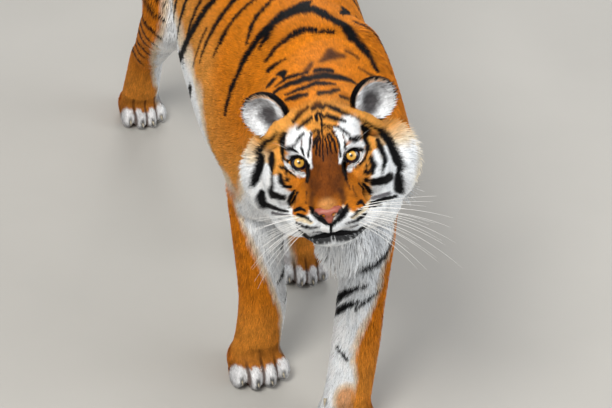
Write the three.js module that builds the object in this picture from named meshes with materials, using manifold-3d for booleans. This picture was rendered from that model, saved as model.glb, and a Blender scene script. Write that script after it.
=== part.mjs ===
// A walking Amur tiger, life size, as a still model of closed solids.
// Millimetres, +Z up. The animal walks towards -Y, its left side is +X, and its pads stand on z = 0.
// The shape is a set of soft bodies (swept tubes and ellipsoids) that blend into each other. Each named
// part is found by casting rays outwards from its own bone line to the blended surface of the coat.
import * as THREE from "three";
import { mergeVertices } from "three/addons/utils/BufferGeometryUtils.js";
import Module from "manifold-3d";

const wasm = await Module();
wasm.setup();

// ---------- driving dimensions ----------
const GAP = 0.4; // air between neighbouring parts
const BACK_HEIGHT = 872; // top of the coat over the shoulder blades
const EYE_LINE = [-95, -400, 825]; // point midway between the eyes
const HEAD_TURN = { yaw: 15.5, pitch: 14, roll: 12 }; // degrees: to its right, nose up, left side up
const EYE = { side: 50, back: 13, up: -4, radius: 19 };
// Ear: root in the head's frame, and degrees tipped forward, leaning out and mouth turned out.
const EAR = { root: [100, 88, 70], turn: [-12, 36, 20] };
const PAW = {
  fore: { width: 132, length: 150, height: 74 },
  hind: { width: 110, length: 142, height: 66 },
};
const BLEND = { limb: 45, head: 14, wrist: 20, toe: 16 }; // how softly neighbouring bodies run together

// ---------- vectors ----------
const X_AXIS = [1, 0, 0];
const add = (a, b, s = 1) => [a[0] + b[0] * s, a[1] + b[1] * s, a[2] + b[2] * s];
const dot = (a, b) => a[0] * b[0] + a[1] * b[1] + a[2] * b[2];
const cross = (a, b) => [
  a[1] * b[2] - a[2] * b[1],
  a[2] * b[0] - a[0] * b[2],
  a[0] * b[1] - a[1] * b[0],
];
const unit = (a) => {
  const n = Math.hypot(...a);
  return a.map((v) => v / n);
};
const mix = (a, b, t) => a.map((v, i) => v + (b[i] - v) * t);
const radians = THREE.MathUtils.degToRad;

// ---------- soft bodies: each is a function from a point to its distance outside the surface ----------

// Distance-like value of an ellipsoid with half sizes r, at the offset o from its centre.
function outside(o, r) {
  const near = Math.hypot(o[0] / r[0], o[1] / r[1], o[2] / r[2]);
  const slope = Math.hypot(o[0] / r[0] ** 2, o[1] / r[1] ** 2, o[2] / r[2] ** 2);
  return slope < 1e-9 ? -Math.min(...r) : (near * (near - 1)) / slope;
}

// An ellipsoid, turned by Euler angles in degrees.
function egg(centre, halves, turn = [0, 0, 0]) {
  const m = new THREE.Matrix4().makeRotationFromEuler(new THREE.Euler(...turn.map(radians)));
  const e = m.elements;
  const axes = [e.slice(0, 3), e.slice(4, 7), e.slice(8, 11)];
  return (p) => {
    const o = add(p, centre, -1);
    return outside(axes.map((axis) => dot(o, axis)), halves);
  };
}

// Stations [x, y, z, side, over, under] made into a fine smooth run by a Catmull-Rom spline.
function smoothStations(stations, steps = 5) {
  const fine = [];
  const at = (i) => stations[Math.max(0, Math.min(stations.length - 1, i))];
  for (let i = 0; i < stations.length - 1; i++) {
    const [a, b, c, d] = [at(i - 1), at(i), at(i + 1), at(i + 2)];
    for (let k = 0; k < steps; k++) {
      const t = k / steps;
      fine.push(
        b.map((v, j) => {
          const bend = 2 * a[j] - 5 * v + 4 * c[j] - d[j];
          const twist = 3 * v - a[j] - 3 * c[j] + d[j];
          return v + 0.5 * t * (c[j] - a[j] + t * (bend + t * twist));
        }),
      );
    }
  }
  fine.push(stations[stations.length - 1]);
  return fine;
}

// The frame of a run between two stations: along it, across it, and over it.
function runFrame(a, b, across = X_AXIS) {
  const along = unit(add(b, a, -1).slice(0, 3));
  const over = unit(cross(across, along));
  return { along, over, side: cross(along, over) };
}

// A tube of egg-shaped section through the stations. "over" is up on a back, and rearwards on a leg.
function tube(stations) {
  const fine = smoothStations(stations);
  const runs = fine.slice(1).map((b, i) => {
    const a = fine[i];
    const span = add(b, a, -1).slice(0, 3);
    return { a, b, span, reach: dot(span, span), ...runFrame(a, b) };
  });
  return (p) => {
    let best = Infinity;
    for (const { a, b, span, reach, along, over, side } of runs) {
      const t = Math.max(0, Math.min(1, dot(add(p, a, -1), span) / reach));
      const s = mix(a, b, t);
      const o = add(p, s, -1);
      const height = dot(o, over);
      const depth = height > 0 ? s[4] : s[5];
      const ends = Math.min(s[3], depth);
      const d = outside([dot(o, side), height, dot(o, along)], [s[3], depth, ends]);
      if (d < best) best = d;
    }
    return best;
  };
}

// Bodies run together over a soft width k.
function blend(k, ...bodies) {
  return (p) =>
    bodies.reduce((low, body) => {
      const d = body(p);
      const h = Math.max(k - Math.abs(low - d), 0);
      return Math.min(low, d) - (h * h) / (4 * k);
    }, 1e6);
}

// A body with a soft hollow pressed into it.
const hollow = (body, dent, k) => (p) => {
  const a = body(p);
  const b = -dent(p);
  const h = Math.max(k - Math.abs(a - b), 0);
  return Math.max(a, b) + (h * h) / (4 * k);
};

const bothSides = (body) => (p) => body([Math.abs(p[0]), p[1], p[2]]);

// ---------- the head, in its own frame: x to its left, y back, z up, from midway between the eyes ----------
const headMatrix = new THREE.Matrix4()
  .makeTranslation(...EYE_LINE)
  .multiply(new THREE.Matrix4().makeRotationZ(radians(-HEAD_TURN.yaw)))
  .multiply(new THREE.Matrix4().makeRotationX(radians(-HEAD_TURN.pitch)))
  .multiply(new THREE.Matrix4().makeRotationY(radians(-HEAD_TURN.roll)));
const headInverse = headMatrix.clone().invert();
const moved = (matrix, p) => new THREE.Vector3(...p).applyMatrix4(matrix).toArray();
const inHead = (body) => (p) => body(moved(headInverse, p));
const fromHead = (p) => moved(headMatrix, p);

function skullBodies() {
  const cranium = egg([0, 84, -8], [86, 104, 84]);
  const forehead = egg([0, 24, 2], [60, 58, 44]);
  const bridge = tube([
    [0, 20, 2, 38, 26, 40],
    [0, -45, -22, 34, 24, 40],
    [0, -98, -50, 30, 20, 30],
    [0, -116, -58, 26, 18, 22],
  ]);
  const paired = bothSides(
    blend(
      BLEND.head,
      egg([48, 22, 22], [27, 32, 17], [0, 20, 0]), // brow
      egg([76, 48, -38], [50, 76, 56]), // cheekbone
      egg([78, 60, -80], [46, 64, 52]), // jaw muscle
      egg([30, -40, -58], [33, 62, 34]), // side of the muzzle
      egg([36, -86, -74], [35, 43, 33]), // whisker pad
      egg([80, 68, 40], [44, 26, 18], [0, 35, 0]), // hair before the ear
    ),
  );
  const muzzleCore = egg([0, -62, -76], [34, 58, 30]);
  const lipFront = egg([0, -112, -82], [24, 22, 20]);
  return [cranium, forehead, bridge, paired, muzzleCore, lipFront];
}

function jawBodies() {
  const chin = egg([0, -84, -117], [37, 30, 24]);
  const jaw = bothSides(
    tube([
      [24, -74, -114, 26, 26, 24],
      [50, -10, -112, 34, 32, 30],
      [66, 60, -104, 46, 46, 42],
    ]),
  );
  const throat = egg([0, 55, -108], [76, 100, 56]);
  return [chin, jaw, throat];
}

// Long hair behind and under the cheeks.
function ruffBodies() {
  const cheek = bothSides(egg([103, 108, -62], [72, 66, 84], [0, 3, 0]));
  const lower = bothSides(egg([64, 90, -124], [68, 68, 58]));
  const nape = egg([0, 165, 0], [96, 92, 76]);
  return [cheek, lower, nape];
}

const eyeHollow = bothSides(egg([49, -8, -5], [24, 17, 17]));
const headBody = inHead(
  hollow(blend(BLEND.head, ...skullBodies(), ...jawBodies(), ...ruffBodies()), eyeHollow, 10),
);

// ---------- trunk and neck ----------
// Sections from the breast to the rump: x, y, top, bottom, height of the widest line, half width.
const TRUNK_SECTIONS = [
  [0, -185, 740, 535, 635, 84],
  [-6, -110, 822, 456, 612, 126],
  [-19, 0, BACK_HEIGHT - 4, 420, 578, 176],
  [-22, 130, 862, 406, 572, 194],
  [-16, 270, 850, 398, 574, 199],
  [-9, 410, 850, 396, 580, 199],
  [-4, 550, 857, 408, 604, 188],
  [0, 690, 866, 440, 634, 166],
  [0, 810, 868, 500, 666, 142],
  [0, 910, 850, 560, 684, 120],
  [0, 985, 812, 618, 704, 92],
  [0, 1030, 776, 666, 724, 56],
];
const BRISKET = { middle: [34, -104, 440], half: [60, 74, 112] }; // fullness beside the leading fore leg
const trunkStations = TRUNK_SECTIONS.map(([x, y, top, bottom, wide, side]) => [
  x,
  y,
  wide,
  side,
  top - wide,
  wide - bottom,
]);
const trunkBody = blend(BLEND.limb, tube(trunkStations), egg(BRISKET.middle, BRISKET.half));

const neckStations = [
  [-74, -262, 770, 112, 110, 118],
  [-52, -180, 748, 118, 126, 140],
  [-24, -90, 722, 130, 140, 160],
  [0, 10, 700, 140, 160, 170],
];
const neckBody = tube(neckStations);

// ---------- tail ----------
const tailStations = [
  [0, 985, 760, 52, 46, 50],
  [-4, 1075, 705, 43, 42, 44],
  [-12, 1160, 590, 38, 38, 38],
  [-20, 1215, 450, 35, 35, 35],
  [-22, 1270, 320, 34, 34, 34],
  [-10, 1365, 222, 33, 33, 33],
  [18, 1480, 196, 32, 32, 32],
  [46, 1575, 240, 29, 29, 29],
  [56, 1618, 292, 22, 22, 22],
];
const tailBody = tube(tailStations);

// ---------- legs ----------
// Joints of each leg in life order, from the blade or hip down, and the middle of the paw on the ground.
const LEGS = {
  fore_right: {
    joints: [[-76, 40, 784], [-112, -112, 622], [-120, 28, 446], [-96, 0, 158]],
    paw: [-112, -14],
    splay: 5,
    core: [[-88, 6, 800], [-112, -28, 640], [-122, 4, 500]],
  },
  fore_left: {
    joints: [[70, 20, 784], [98, -140, 632], [118, -36, 436], [58, -182, 160]],
    paw: [35, -232],
    splay: -2,
    core: [[80, -18, 790], [104, -58, 650], [116, -56, 500]],
  },
  hind_right: {
    joints: [[-98, 850, 712], [-156, 742, 446], [-167, 942, 208]],
    paw: [-170, 1000],
    splay: 6,
    core: [[-96, 850, 760], [-122, 812, 620], [-146, 776, 500]],
  },
  hind_left: {
    joints: [[92, 850, 712], [126, 632, 440], [84, 432, 214]],
    paw: [72, 318],
    splay: -3,
    core: [[92, 850, 760], [112, 782, 620], [124, 690, 510]],
  },
};

// Sections of a leg: bone number, place along that bone, half width, rear half depth, front half depth.
const FORE_SECTIONS = [
  [0, 0.0, 50, 100, 80],
  [0, 0.5, 66, 124, 94],
  [0, 1.0, 66, 128, 76],
  [1, 0.5, 60, 104, 78],
  [1, 1.0, 56, 68, 62],
  [2, 0.25, 56, 54, 60],
  [2, 0.6, 52, 46, 50],
  [2, 0.9, 52, 46, 42],
];
const HIND_SECTIONS = [
  [0, 0.0, 80, 134, 128],
  [0, 0.5, 82, 124, 120],
  [0, 1.0, 62, 92, 70],
  [1, 0.4, 52, 62, 50],
  [1, 0.8, 41, 42, 42],
  [1, 1.0, 40, 42, 38],
];

const isFore = (name) => name.startsWith("fore");

function legStations(name) {
  const { joints, paw } = LEGS[name];
  const sections = isFore(name) ? FORE_SECTIONS : HIND_SECTIONS;
  const size = isFore(name) ? PAW.fore : PAW.hind;
  const stations = sections.map(([bone, along, side, rear, front]) => [
    ...mix(joints[bone], joints[bone + 1], along),
    side,
    rear,
    front,
  ]);
  const last = joints[joints.length - 1];
  const knuckle = [paw[0], paw[1] + size.length * 0.08, size.height * 0.72];
  const middle = mix(last, knuckle, 0.55);
  stations.push([...middle, size.width * 0.385, 40, 40]);
  stations.push([...knuckle, size.width * 0.4, 42, 40]);
  return stations;
}

// Toes and pad, in the paw's own frame: x across, y back, z up from the ground.
function pawParts(name) {
  const { width, length, height } = isFore(name) ? PAW.fore : PAW.hind;
  const toeHalf = [width * 0.148, length * 0.22, height * 0.41];
  const toes = [-1.5, -0.5, 0.5, 1.5].map((place) => {
    const back = Math.abs(place) > 1 ? -0.15 : -0.26;
    return [[place * width * 0.236, back * length, height * 0.38], toeHalf, place];
  });
  const pad = egg([0, length * 0.07, height * 0.44], [width * 0.44, length * 0.4, height * 0.52]);
  return { toes, pad };
}

function pawBody(name) {
  const { paw, splay } = LEGS[name];
  const { toes, pad } = pawParts(name);
  const turn = radians(splay);
  const [c, s] = [Math.cos(turn), Math.sin(turn)];
  const local = blend(
    BLEND.toe,
    ...toes.map(([centre, halves, place]) => egg(centre, halves, [0, 0, place * 7])),
    pad,
  );
  return (p) => {
    const [x, y] = [p[0] - paw[0], p[1] - paw[1]];
    return local([c * x + s * y, c * y - s * x, p[2]]);
  };
}

const eachLeg = (make) => Object.fromEntries(Object.keys(LEGS).map((name) => [name, make(name)]));
const legBodies = eachLeg((name) => blend(BLEND.wrist, tube(legStations(name)), pawBody(name)));

// ---------- casting a part's surface ----------

// Distance from an inner point along a direction to the body's surface, grown by `grow`.
function reach(body, from, direction, limit, grow) {
  let r = 0;
  for (let i = 0; i < 90 && r < limit; i++) {
    const d = body(add(from, direction, r)) - grow;
    if (d > -0.02) break;
    r += Math.max(0.05, -d * 0.85);
  }
  return Math.min(Math.max(r, 1), limit);
}

// A closed mesh round the line of centres: rings of rays, with fans of tilted rays over both ends.
function cast(body, centres, { rays = 20, limit = () => 400, caps = 3, grow = 0, across = X_AXIS } = {}) {
  const last = centres.length - 1;
  const rings = [];
  const pushRing = (i, tilt) => {
    const a = centres[Math.min(i, last - 1)];
    const { along, over, side } = runFrame(a, centres[Math.min(i, last - 1) + 1], across);
    const ring = [];
    for (let k = 0; k < rays; k++) {
      const angle = (2 * Math.PI * k) / rays;
      const flat = add(side.map((v) => v * Math.cos(angle)), over, Math.sin(angle));
      const ray = add(flat.map((v) => v * Math.cos(tilt)), along, Math.sin(tilt));
      ring.push(add(centres[i], ray, reach(body, centres[i], ray, limit(centres[i]), grow)));
    }
    rings.push(ring);
    return along;
  };
  for (let c = caps; c > 0; c--) pushRing(0, (-Math.PI / 2) * (c / (caps + 1)));
  for (let i = 0; i <= last; i++) pushRing(i, 0);
  for (let c = 1; c <= caps; c++) pushRing(last, (Math.PI / 2) * (c / (caps + 1)));
  const pole = (i, sign) => {
    const a = centres[Math.min(i, last - 1)];
    const { along } = runFrame(a, centres[Math.min(i, last - 1) + 1], across);
    const ray = along.map((v) => v * sign);
    return add(centres[i], ray, reach(body, centres[i], ray, limit(centres[i]), grow));
  };
  const points = [pole(0, -1), ...rings.flat(), pole(last, 1)];
  const faces = [];
  const at = (ring, k) => 1 + ring * rays + (k % rays);
  const end = points.length - 1;
  for (let k = 0; k < rays; k++) {
    faces.push(0, at(0, k + 1), at(0, k));
    faces.push(end, at(rings.length - 1, k), at(rings.length - 1, k + 1));
    for (let r = 0; r < rings.length - 1; r++) {
      faces.push(at(r, k), at(r, k + 1), at(r + 1, k));
      faces.push(at(r + 1, k), at(r, k + 1), at(r + 1, k + 1));
    }
  }
  return solidFrom(points.flat(), faces);
}

// Points spaced evenly, every `step`, along the smoothed line of some stations.
function centreLine(stations, step) {
  const fine = smoothStations(stations, 12).map((s) => new THREE.Vector3(s[0], s[1], s[2]));
  const curve = new THREE.CurvePath();
  for (let i = 1; i < fine.length; i++) curve.add(new THREE.LineCurve3(fine[i - 1], fine[i]));
  const count = Math.max(2, Math.round(curve.getLength() / step));
  return curve.getSpacedPoints(count).map((v) => v.toArray());
}

// ---------- solids ----------
function solidFrom(positions, faces) {
  const mesh = { numProp: 3, vertProperties: new Float32Array(positions), triVerts: new Uint32Array(faces) };
  const solid = new wasm.Manifold(new wasm.Mesh(mesh));
  if (solid.volume() > 0) return solid;
  for (let i = 0; i < faces.length; i += 3) [faces[i + 1], faces[i + 2]] = [faces[i + 2], faces[i + 1]];
  return new wasm.Manifold(new wasm.Mesh({ ...mesh, triVerts: new Uint32Array(faces) }));
}

function solidOf(geometry, matrix = new THREE.Matrix4()) {
  const plain = geometry.clone().applyMatrix4(matrix);
  for (const name of Object.keys(plain.attributes)) if (name !== "position") plain.deleteAttribute(name);
  const merged = mergeVertices(plain, 1e-3);
  return solidFrom(Array.from(merged.attributes.position.array), Array.from(merged.index.array));
}

function block(low, high, matrix) {
  const size = add(high, low, -1);
  const box = new THREE.BoxGeometry(...size).translate(...mix(low, high, 0.5));
  return solidOf(box, matrix);
}

// Part of a solid on the far side of a point along a direction, leaving half a gap there.
function beyond(solid, point, direction) {
  const half = 2000;
  const turn = new THREE.Quaternion().setFromUnitVectors(
    new THREE.Vector3(0, 0, 1),
    new THREE.Vector3(...unit(direction)),
  );
  const matrix = new THREE.Matrix4().compose(
    new THREE.Vector3(...point),
    turn,
    new THREE.Vector3(1, 1, 1),
  );
  return solid.intersect(block([-half, -half, GAP / 2], [half, half, half], matrix));
}

const flip = (direction) => direction.map((v) => -v);
const FLOOR = block([-3000, -3000, -500], [3000, 3000, 0]);

// Cuts a solid across at each [point, direction] and gives the pieces in order along it.
function parted(solid, cuts) {
  const pieces = [];
  let rest = solid;
  for (const [point, direction] of cuts) {
    pieces.push(beyond(rest, point, flip(direction)));
    rest = beyond(rest, point, direction);
  }
  return [...pieces, rest];
}

// ---------- materials ----------
const coat = new THREE.MeshStandardMaterial({ color: 0xc8701c, roughness: 0.85, metalness: 0 });
const paleCoat = new THREE.MeshStandardMaterial({ color: 0xe9e2d6, roughness: 0.85, metalness: 0 });
const noseSkin = new THREE.MeshStandardMaterial({ color: 0xc0654c, roughness: 0.5, metalness: 0 });
const eyeGlass = new THREE.MeshStandardMaterial({ color: 0xd8a032, roughness: 0.1, metalness: 0 });

const tiger = new THREE.Group();
tiger.name = "tiger";

function place(name, solid, material) {
  const { vertProperties, triVerts } = solid.getMesh();
  const geometry = new THREE.BufferGeometry();
  geometry.setAttribute("position", new THREE.BufferAttribute(new Float32Array(vertProperties), 3));
  geometry.setIndex(new THREE.BufferAttribute(new Uint32Array(triVerts), 1));
  geometry.computeVertexNormals();
  const mesh = new THREE.Mesh(geometry, material);
  mesh.name = name;
  tiger.add(mesh);
}

// Only the largest body of a solid: slivers left by a cut are dropped.
function mainBody(solid) {
  return solid.decompose().reduce((a, b) => (a.volume() > b.volume() ? a : b));
}

// ---------- torso: one run from the rump to the back of the head ----------
const torsoBody = blend(BLEND.limb, trunkBody, neckBody);
const TORSO_CORE = [
  [0, 985, 715],
  [0, 800, 665],
  [0, 500, 630],
  [0, 200, 640],
  [-4, 40, 672],
  [-20, -70, 706],
  [-48, -170, 738],
  [-74, -262, 770],
];
const torsoLine = centreLine(TORSO_CORE, 76);
const torso = cast(torsoBody, torsoLine, { rays: 22 });
const torsoGrown = cast(torsoBody, torsoLine, { rays: 22, grow: GAP });

// ---------- head ----------
const HEAD_AXIS = [
  [0, 150, -28],
  [0, 90, -36],
  [0, 30, -48],
  [0, -30, -64],
  [0, -72, -78],
];
const headLine = centreLine(HEAD_AXIS.map(fromHead), 18);
const headOptions = { rays: 26, caps: 4, across: fromHead([1, 0, 0]).map((v, i) => v - EYE_LINE[i]) };
const headWhole = cast(headBody, headLine, headOptions);
const bodyGrown = torsoGrown.add(cast(headBody, headLine, { ...headOptions, grow: GAP }));

// Nose pad: broad above, narrow below, set into the end of the muzzle.
function noseSolid(grow) {
  const outline = new THREE.Shape();
  outline.moveTo(-26 - grow, 10 + grow);
  outline.quadraticCurveTo(0, 18 + grow, 26 + grow, 10 + grow);
  outline.quadraticCurveTo(26 + grow, -4, 9 + grow, -16 - grow);
  outline.lineTo(-9 - grow, -16 - grow);
  outline.quadraticCurveTo(-26 - grow, -4, -26 - grow, 10 + grow);
  const bar = new THREE.ExtrudeGeometry(outline, {
    depth: 33 + 2 * grow,
    bevelThickness: 3,
    bevelSize: 3,
    bevelSegments: 1,
    curveSegments: 4,
  });
  const stand = new THREE.Matrix4()
    .makeTranslation(0, -104 + grow, -62)
    .multiply(new THREE.Matrix4().makeRotationX(radians(98)));
  return solidOf(bar, headMatrix.clone().multiply(stand));
}

function eyeSolid(side, grow) {
  const ball = new THREE.SphereGeometry(EYE.radius + grow, 10, 7);
  return solidOf(ball, new THREE.Matrix4().makeTranslation(...fromHead([side * EYE.side, EYE.back, EYE.up])));
}

// An ear: a round cup with its mouth forward and out, its root sunk in the head.
function earSolid(side) {
  const turn = [EAR.turn[0], side * EAR.turn[1], side * EAR.turn[2]].map(radians);
  const frame = headMatrix
    .clone()
    .multiply(new THREE.Matrix4().makeTranslation(side * EAR.root[0], EAR.root[1], EAR.root[2]))
    .multiply(new THREE.Matrix4().makeRotationFromEuler(new THREE.Euler(...turn)));
  const ball = new THREE.SphereGeometry(1, 13, 7);
  const scaled = (centre, halves) =>
    frame.clone().multiply(new THREE.Matrix4().makeTranslation(...centre)).scale(new THREE.Vector3(...halves));
  const outer = solidOf(ball, scaled([0, 4, 3], [43, 24, 48]));
  const inner = solidOf(ball, scaled([0, -22, 12], [34, 30, 34]));
  return outer.subtract(inner);
}

// ---------- head, neck and trunk: one run cut across at the nape, the shoulders and the loins ----------
const headPoint = (p) => add(fromHead(p), EYE_LINE, -1);
const [rump, belly, chest, neck, face] = parted(torso.add(headWhole), [
  [[0, 655, 600], [0, -1, 0.1]],
  [[0, 190, 600], [0, -1, -0.08]],
  [[-10, -62, 700], [-0.2, -1, -0.25]],
  [fromHead([0, 122, 0]), headPoint([0, -1, 0.3])],
]);
place("neck", mainBody(neck), coat);
place("chest", mainBody(chest), coat);
place("belly", belly, coat);
place("rump", rump, coat);

const nosePad = noseSolid(0);
const eyes = [1, -1].map((side) => eyeSolid(side, 0));
let head = mainBody(face).subtract(noseSolid(GAP));
for (const side of [1, -1]) head = head.subtract(eyeSolid(side, GAP));

// The lower jaw parts from the head along the mouth, which dips from under the nose to the lips' corners.
function jawRegion(grow) {
  const outline = new THREE.Shape();
  outline.moveTo(0, -96 + grow);
  outline.lineTo(34, -104 + grow);
  outline.lineTo(60 + grow, -104 + grow);
  outline.quadraticCurveTo(58 + grow, -140, 34, -200);
  outline.lineTo(-34, -200);
  outline.quadraticCurveTo(-58 - grow, -140, -60 - grow, -104 + grow);
  outline.lineTo(-34, -104 + grow);
  const prism = new THREE.ExtrudeGeometry(outline, { depth: 230 + grow, bevelEnabled: false, curveSegments: 4 });
  const stand = new THREE.Matrix4()
    .makeTranslation(0, 18 + grow, 0)
    .multiply(new THREE.Matrix4().makeRotationX(Math.PI / 2));
  return solidOf(prism, headMatrix.clone().multiply(stand));
}
// A solid cut back from the head's own facets, with the gap on every side of them.
function clearOfHead(solid) {
  const shifts = [X_AXIS, flip(X_AXIS), [0, 1, 0], [0, -1, 0], [0, 0, 1]];
  return shifts.reduce((rest, way) => rest.subtract(head.translate(way.map((v) => v * GAP))), solid);
}
place("head", mainBody(head.subtract(jawRegion(GAP))), coat);
place("lower_jaw", mainBody(head.intersect(jawRegion(0))), paleCoat);
place("nose_pad", nosePad, noseSkin);
["left", "right"].forEach((name, i) => {
  place("eye_" + name, eyes[i], eyeGlass);
  place("ear_" + name, mainBody(clearOfHead(earSolid(i ? -1 : 1).subtract(bodyGrown))), coat);
});

// ---------- tail ----------
const tailWhole = cast(tailBody, centreLine(tailStations, 56), { rays: 10, limit: () => 70, caps: 1 });
const tailNames = ["tail_root", "tail_middle", "tail_tip"];
parted(mainBody(tailWhole.subtract(bodyGrown)), [
  [[-16, 1190, 510], [0, 0.35, -1]],
  [[-5, 1385, 214], [0.1, 1, -0.2]],
]).forEach((solid, i) => place(tailNames[i], solid, coat));

// ---------- legs ----------
const DOWN = [0, 0, -1];
const LEG_REACH = { upper: 145, lower: 100 }; // furthest coat from the leg's core line, above and below the elbow
const PIECES = {
  fore: ["upper_arm", "forearm"],
  hind: ["thigh", "shank", "hock"],
};

// The leg from the blade or hip to the ground, as one column.
function legColumn(name) {
  const { joints, core, paw } = LEGS[name];
  const bend = joints.slice(isFore(name) ? 2 : 1);
  const points = centreLine([...core, ...bend, [...paw, 60]], 62);
  const limit = (p) => (p[2] > 430 ? LEG_REACH.upper : LEG_REACH.lower);
  return cast(legBodies[name], points, { rays: 12, caps: 2, limit });
}

// The paw with its toes, its pads flat on the ground.
function pawSolid(name) {
  const { paw } = LEGS[name];
  const size = isFore(name) ? PAW.fore : PAW.hind;
  const line = [0.26, 0.08, -0.1, -0.21, -0.31].map((y) => [
    paw[0],
    paw[1] + y * size.length,
    size.height * 0.4,
  ]);
  return cast(legBodies[name], line, { rays: 20, limit: () => size.height * 1.7, caps: 2 }).subtract(FLOOR);
}

for (const [name, { joints, paw }] of Object.entries(LEGS)) {
  const size = isFore(name) ? PAW.fore : PAW.hind;
  const bend = joints[isFore(name) ? 2 : 1];
  const next = joints[isFore(name) ? 3 : 2];
  const bendCut = [bend, unit(add(next, bend, -1))];
  const hockCut = [next, [0, 0.1, -1]];
  const pawCut = [[...paw, size.height * 1.1], DOWN];
  const column = mainBody(legColumn(name).subtract(bodyGrown));
  const pieces = parted(column, isFore(name) ? [bendCut, pawCut] : [bendCut, hockCut, pawCut]);
  PIECES[isFore(name) ? "fore" : "hind"].forEach((title, i) =>
    place(name + "_" + title, mainBody(pieces[i]), coat),
  );
  place(name + "_paw", mainBody(beyond(pawSolid(name), ...pawCut)), coat);
}

// ---------- the origin: on the ground, under the middle of the whole animal ----------
const middle = new THREE.Box3().setFromObject(tiger).getCenter(new THREE.Vector3());
tiger.position.set(-middle.x, -middle.y, 0);

export default tiger;
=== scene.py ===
"""A walking tiger, life size: skin, coat, eyes, nose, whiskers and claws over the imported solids.

Lengths inside the shape classes are millimetres in the tiger's own frame: it walks towards -Y, its
left is +X, +Z is up, and the ground is z = 0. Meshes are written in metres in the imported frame.
"""
import logging
import math
from collections.abc import Callable
from dataclasses import dataclass
from enum import Enum

import bpy
import numpy as np
from mathutils import Matrix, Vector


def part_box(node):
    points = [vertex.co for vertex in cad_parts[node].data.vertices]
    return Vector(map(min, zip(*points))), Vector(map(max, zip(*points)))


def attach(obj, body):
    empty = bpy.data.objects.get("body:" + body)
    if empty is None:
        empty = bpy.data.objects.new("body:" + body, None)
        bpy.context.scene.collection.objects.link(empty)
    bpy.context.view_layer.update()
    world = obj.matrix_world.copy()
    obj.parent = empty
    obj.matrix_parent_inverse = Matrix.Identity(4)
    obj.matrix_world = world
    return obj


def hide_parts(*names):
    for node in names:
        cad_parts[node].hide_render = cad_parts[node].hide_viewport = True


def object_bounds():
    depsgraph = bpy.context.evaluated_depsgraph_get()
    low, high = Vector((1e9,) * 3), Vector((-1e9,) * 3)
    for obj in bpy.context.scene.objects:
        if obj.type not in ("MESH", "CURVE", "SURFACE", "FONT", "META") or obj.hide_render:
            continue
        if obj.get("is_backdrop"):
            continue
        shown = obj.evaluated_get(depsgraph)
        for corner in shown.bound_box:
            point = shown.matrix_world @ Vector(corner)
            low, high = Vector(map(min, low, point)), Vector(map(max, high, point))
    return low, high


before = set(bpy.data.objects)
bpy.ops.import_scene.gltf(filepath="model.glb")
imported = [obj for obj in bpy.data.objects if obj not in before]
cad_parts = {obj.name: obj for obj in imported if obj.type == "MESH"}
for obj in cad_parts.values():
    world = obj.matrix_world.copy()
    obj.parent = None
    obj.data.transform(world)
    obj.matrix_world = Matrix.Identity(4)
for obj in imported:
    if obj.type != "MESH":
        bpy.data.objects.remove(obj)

Array = np.ndarray
Field = Callable[[Array], Array]
MM = 0.001
FAR = 400.0
CAD_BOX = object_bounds()
log = logging.getLogger("tiger")
SIDE_WORDS = {-1: "right", 1: "left"}
X_AXIS = np.array([1.0, 0.0, 0.0])


# ---- Vectors and matrices


def unit(v: Array) -> Array:
    """Vectors scaled to length one along their last axis."""
    v = np.asarray(v, float)
    return v / np.maximum(np.linalg.norm(v, axis=-1, keepdims=True), 1e-9)


def across_plane(v: Array, normal: Array) -> Array:
    """The part of each vector that lies in the plane with the given normal, at length one."""
    return unit(v - (v * normal).sum(-1, keepdims=True) * normal)


def smooth(low: float, high: float, x: Array) -> Array:
    """A soft step from 0 at low to 1 at high, level at both ends."""
    t = np.clip((np.asarray(x, float) - low) / (high - low), 0.0, 1.0)
    return t * t * (3.0 - 2.0 * t)


def turn_x(degrees: float) -> Array:
    """Rotation about X."""
    c, s = math.cos(math.radians(degrees)), math.sin(math.radians(degrees))
    return np.array([[1, 0, 0], [0, c, -s], [0, s, c]])


def turn_y(degrees: float) -> Array:
    """Rotation about Y."""
    c, s = math.cos(math.radians(degrees)), math.sin(math.radians(degrees))
    return np.array([[c, 0, s], [0, 1, 0], [-s, 0, c]])


def turn_z(degrees: float) -> Array:
    """Rotation about Z."""
    c, s = math.cos(math.radians(degrees)), math.sin(math.radians(degrees))
    return np.array([[c, -s, 0], [s, c, 0], [0, 0, 1]])


def direction(around: float, above: float) -> Array:
    """Unit direction at an angle round from the front and one above the ground, in degrees."""
    around, above = math.radians(around), math.radians(above)
    level = math.cos(above)
    return np.array([math.sin(around) * level, -math.cos(around) * level, math.sin(above)])


def rolled_axes(right: Array, ahead: Array, over: float) -> Array:
    """Columns right, up and ahead, the first two turned about the third by some degrees."""
    up, c, s = np.cross(ahead, right), math.cos(math.radians(over)), math.sin(math.radians(over))
    return np.stack([c * right + s * up, c * up - s * right, ahead], 1)


def turn_xyz(degrees: tuple[float, float, float]) -> Array:
    """Rotation by three angles: about Z first, then Y, then X."""
    return turn_x(degrees[0]) @ turn_y(degrees[1]) @ turn_z(degrees[2])


# Large odd numbers that stir a lattice cell's numbers into one value, and the bits of it that are kept.
CELL_HASH = np.array([73856093, 19349663, 83492791])
SEED_HASH, FIRST_HASH, SECOND_HASH, HASH_BITS = 2654435761, 1274126177, 69069, 0x7FFFFFFF
HASH_VALUES = 20011


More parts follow.
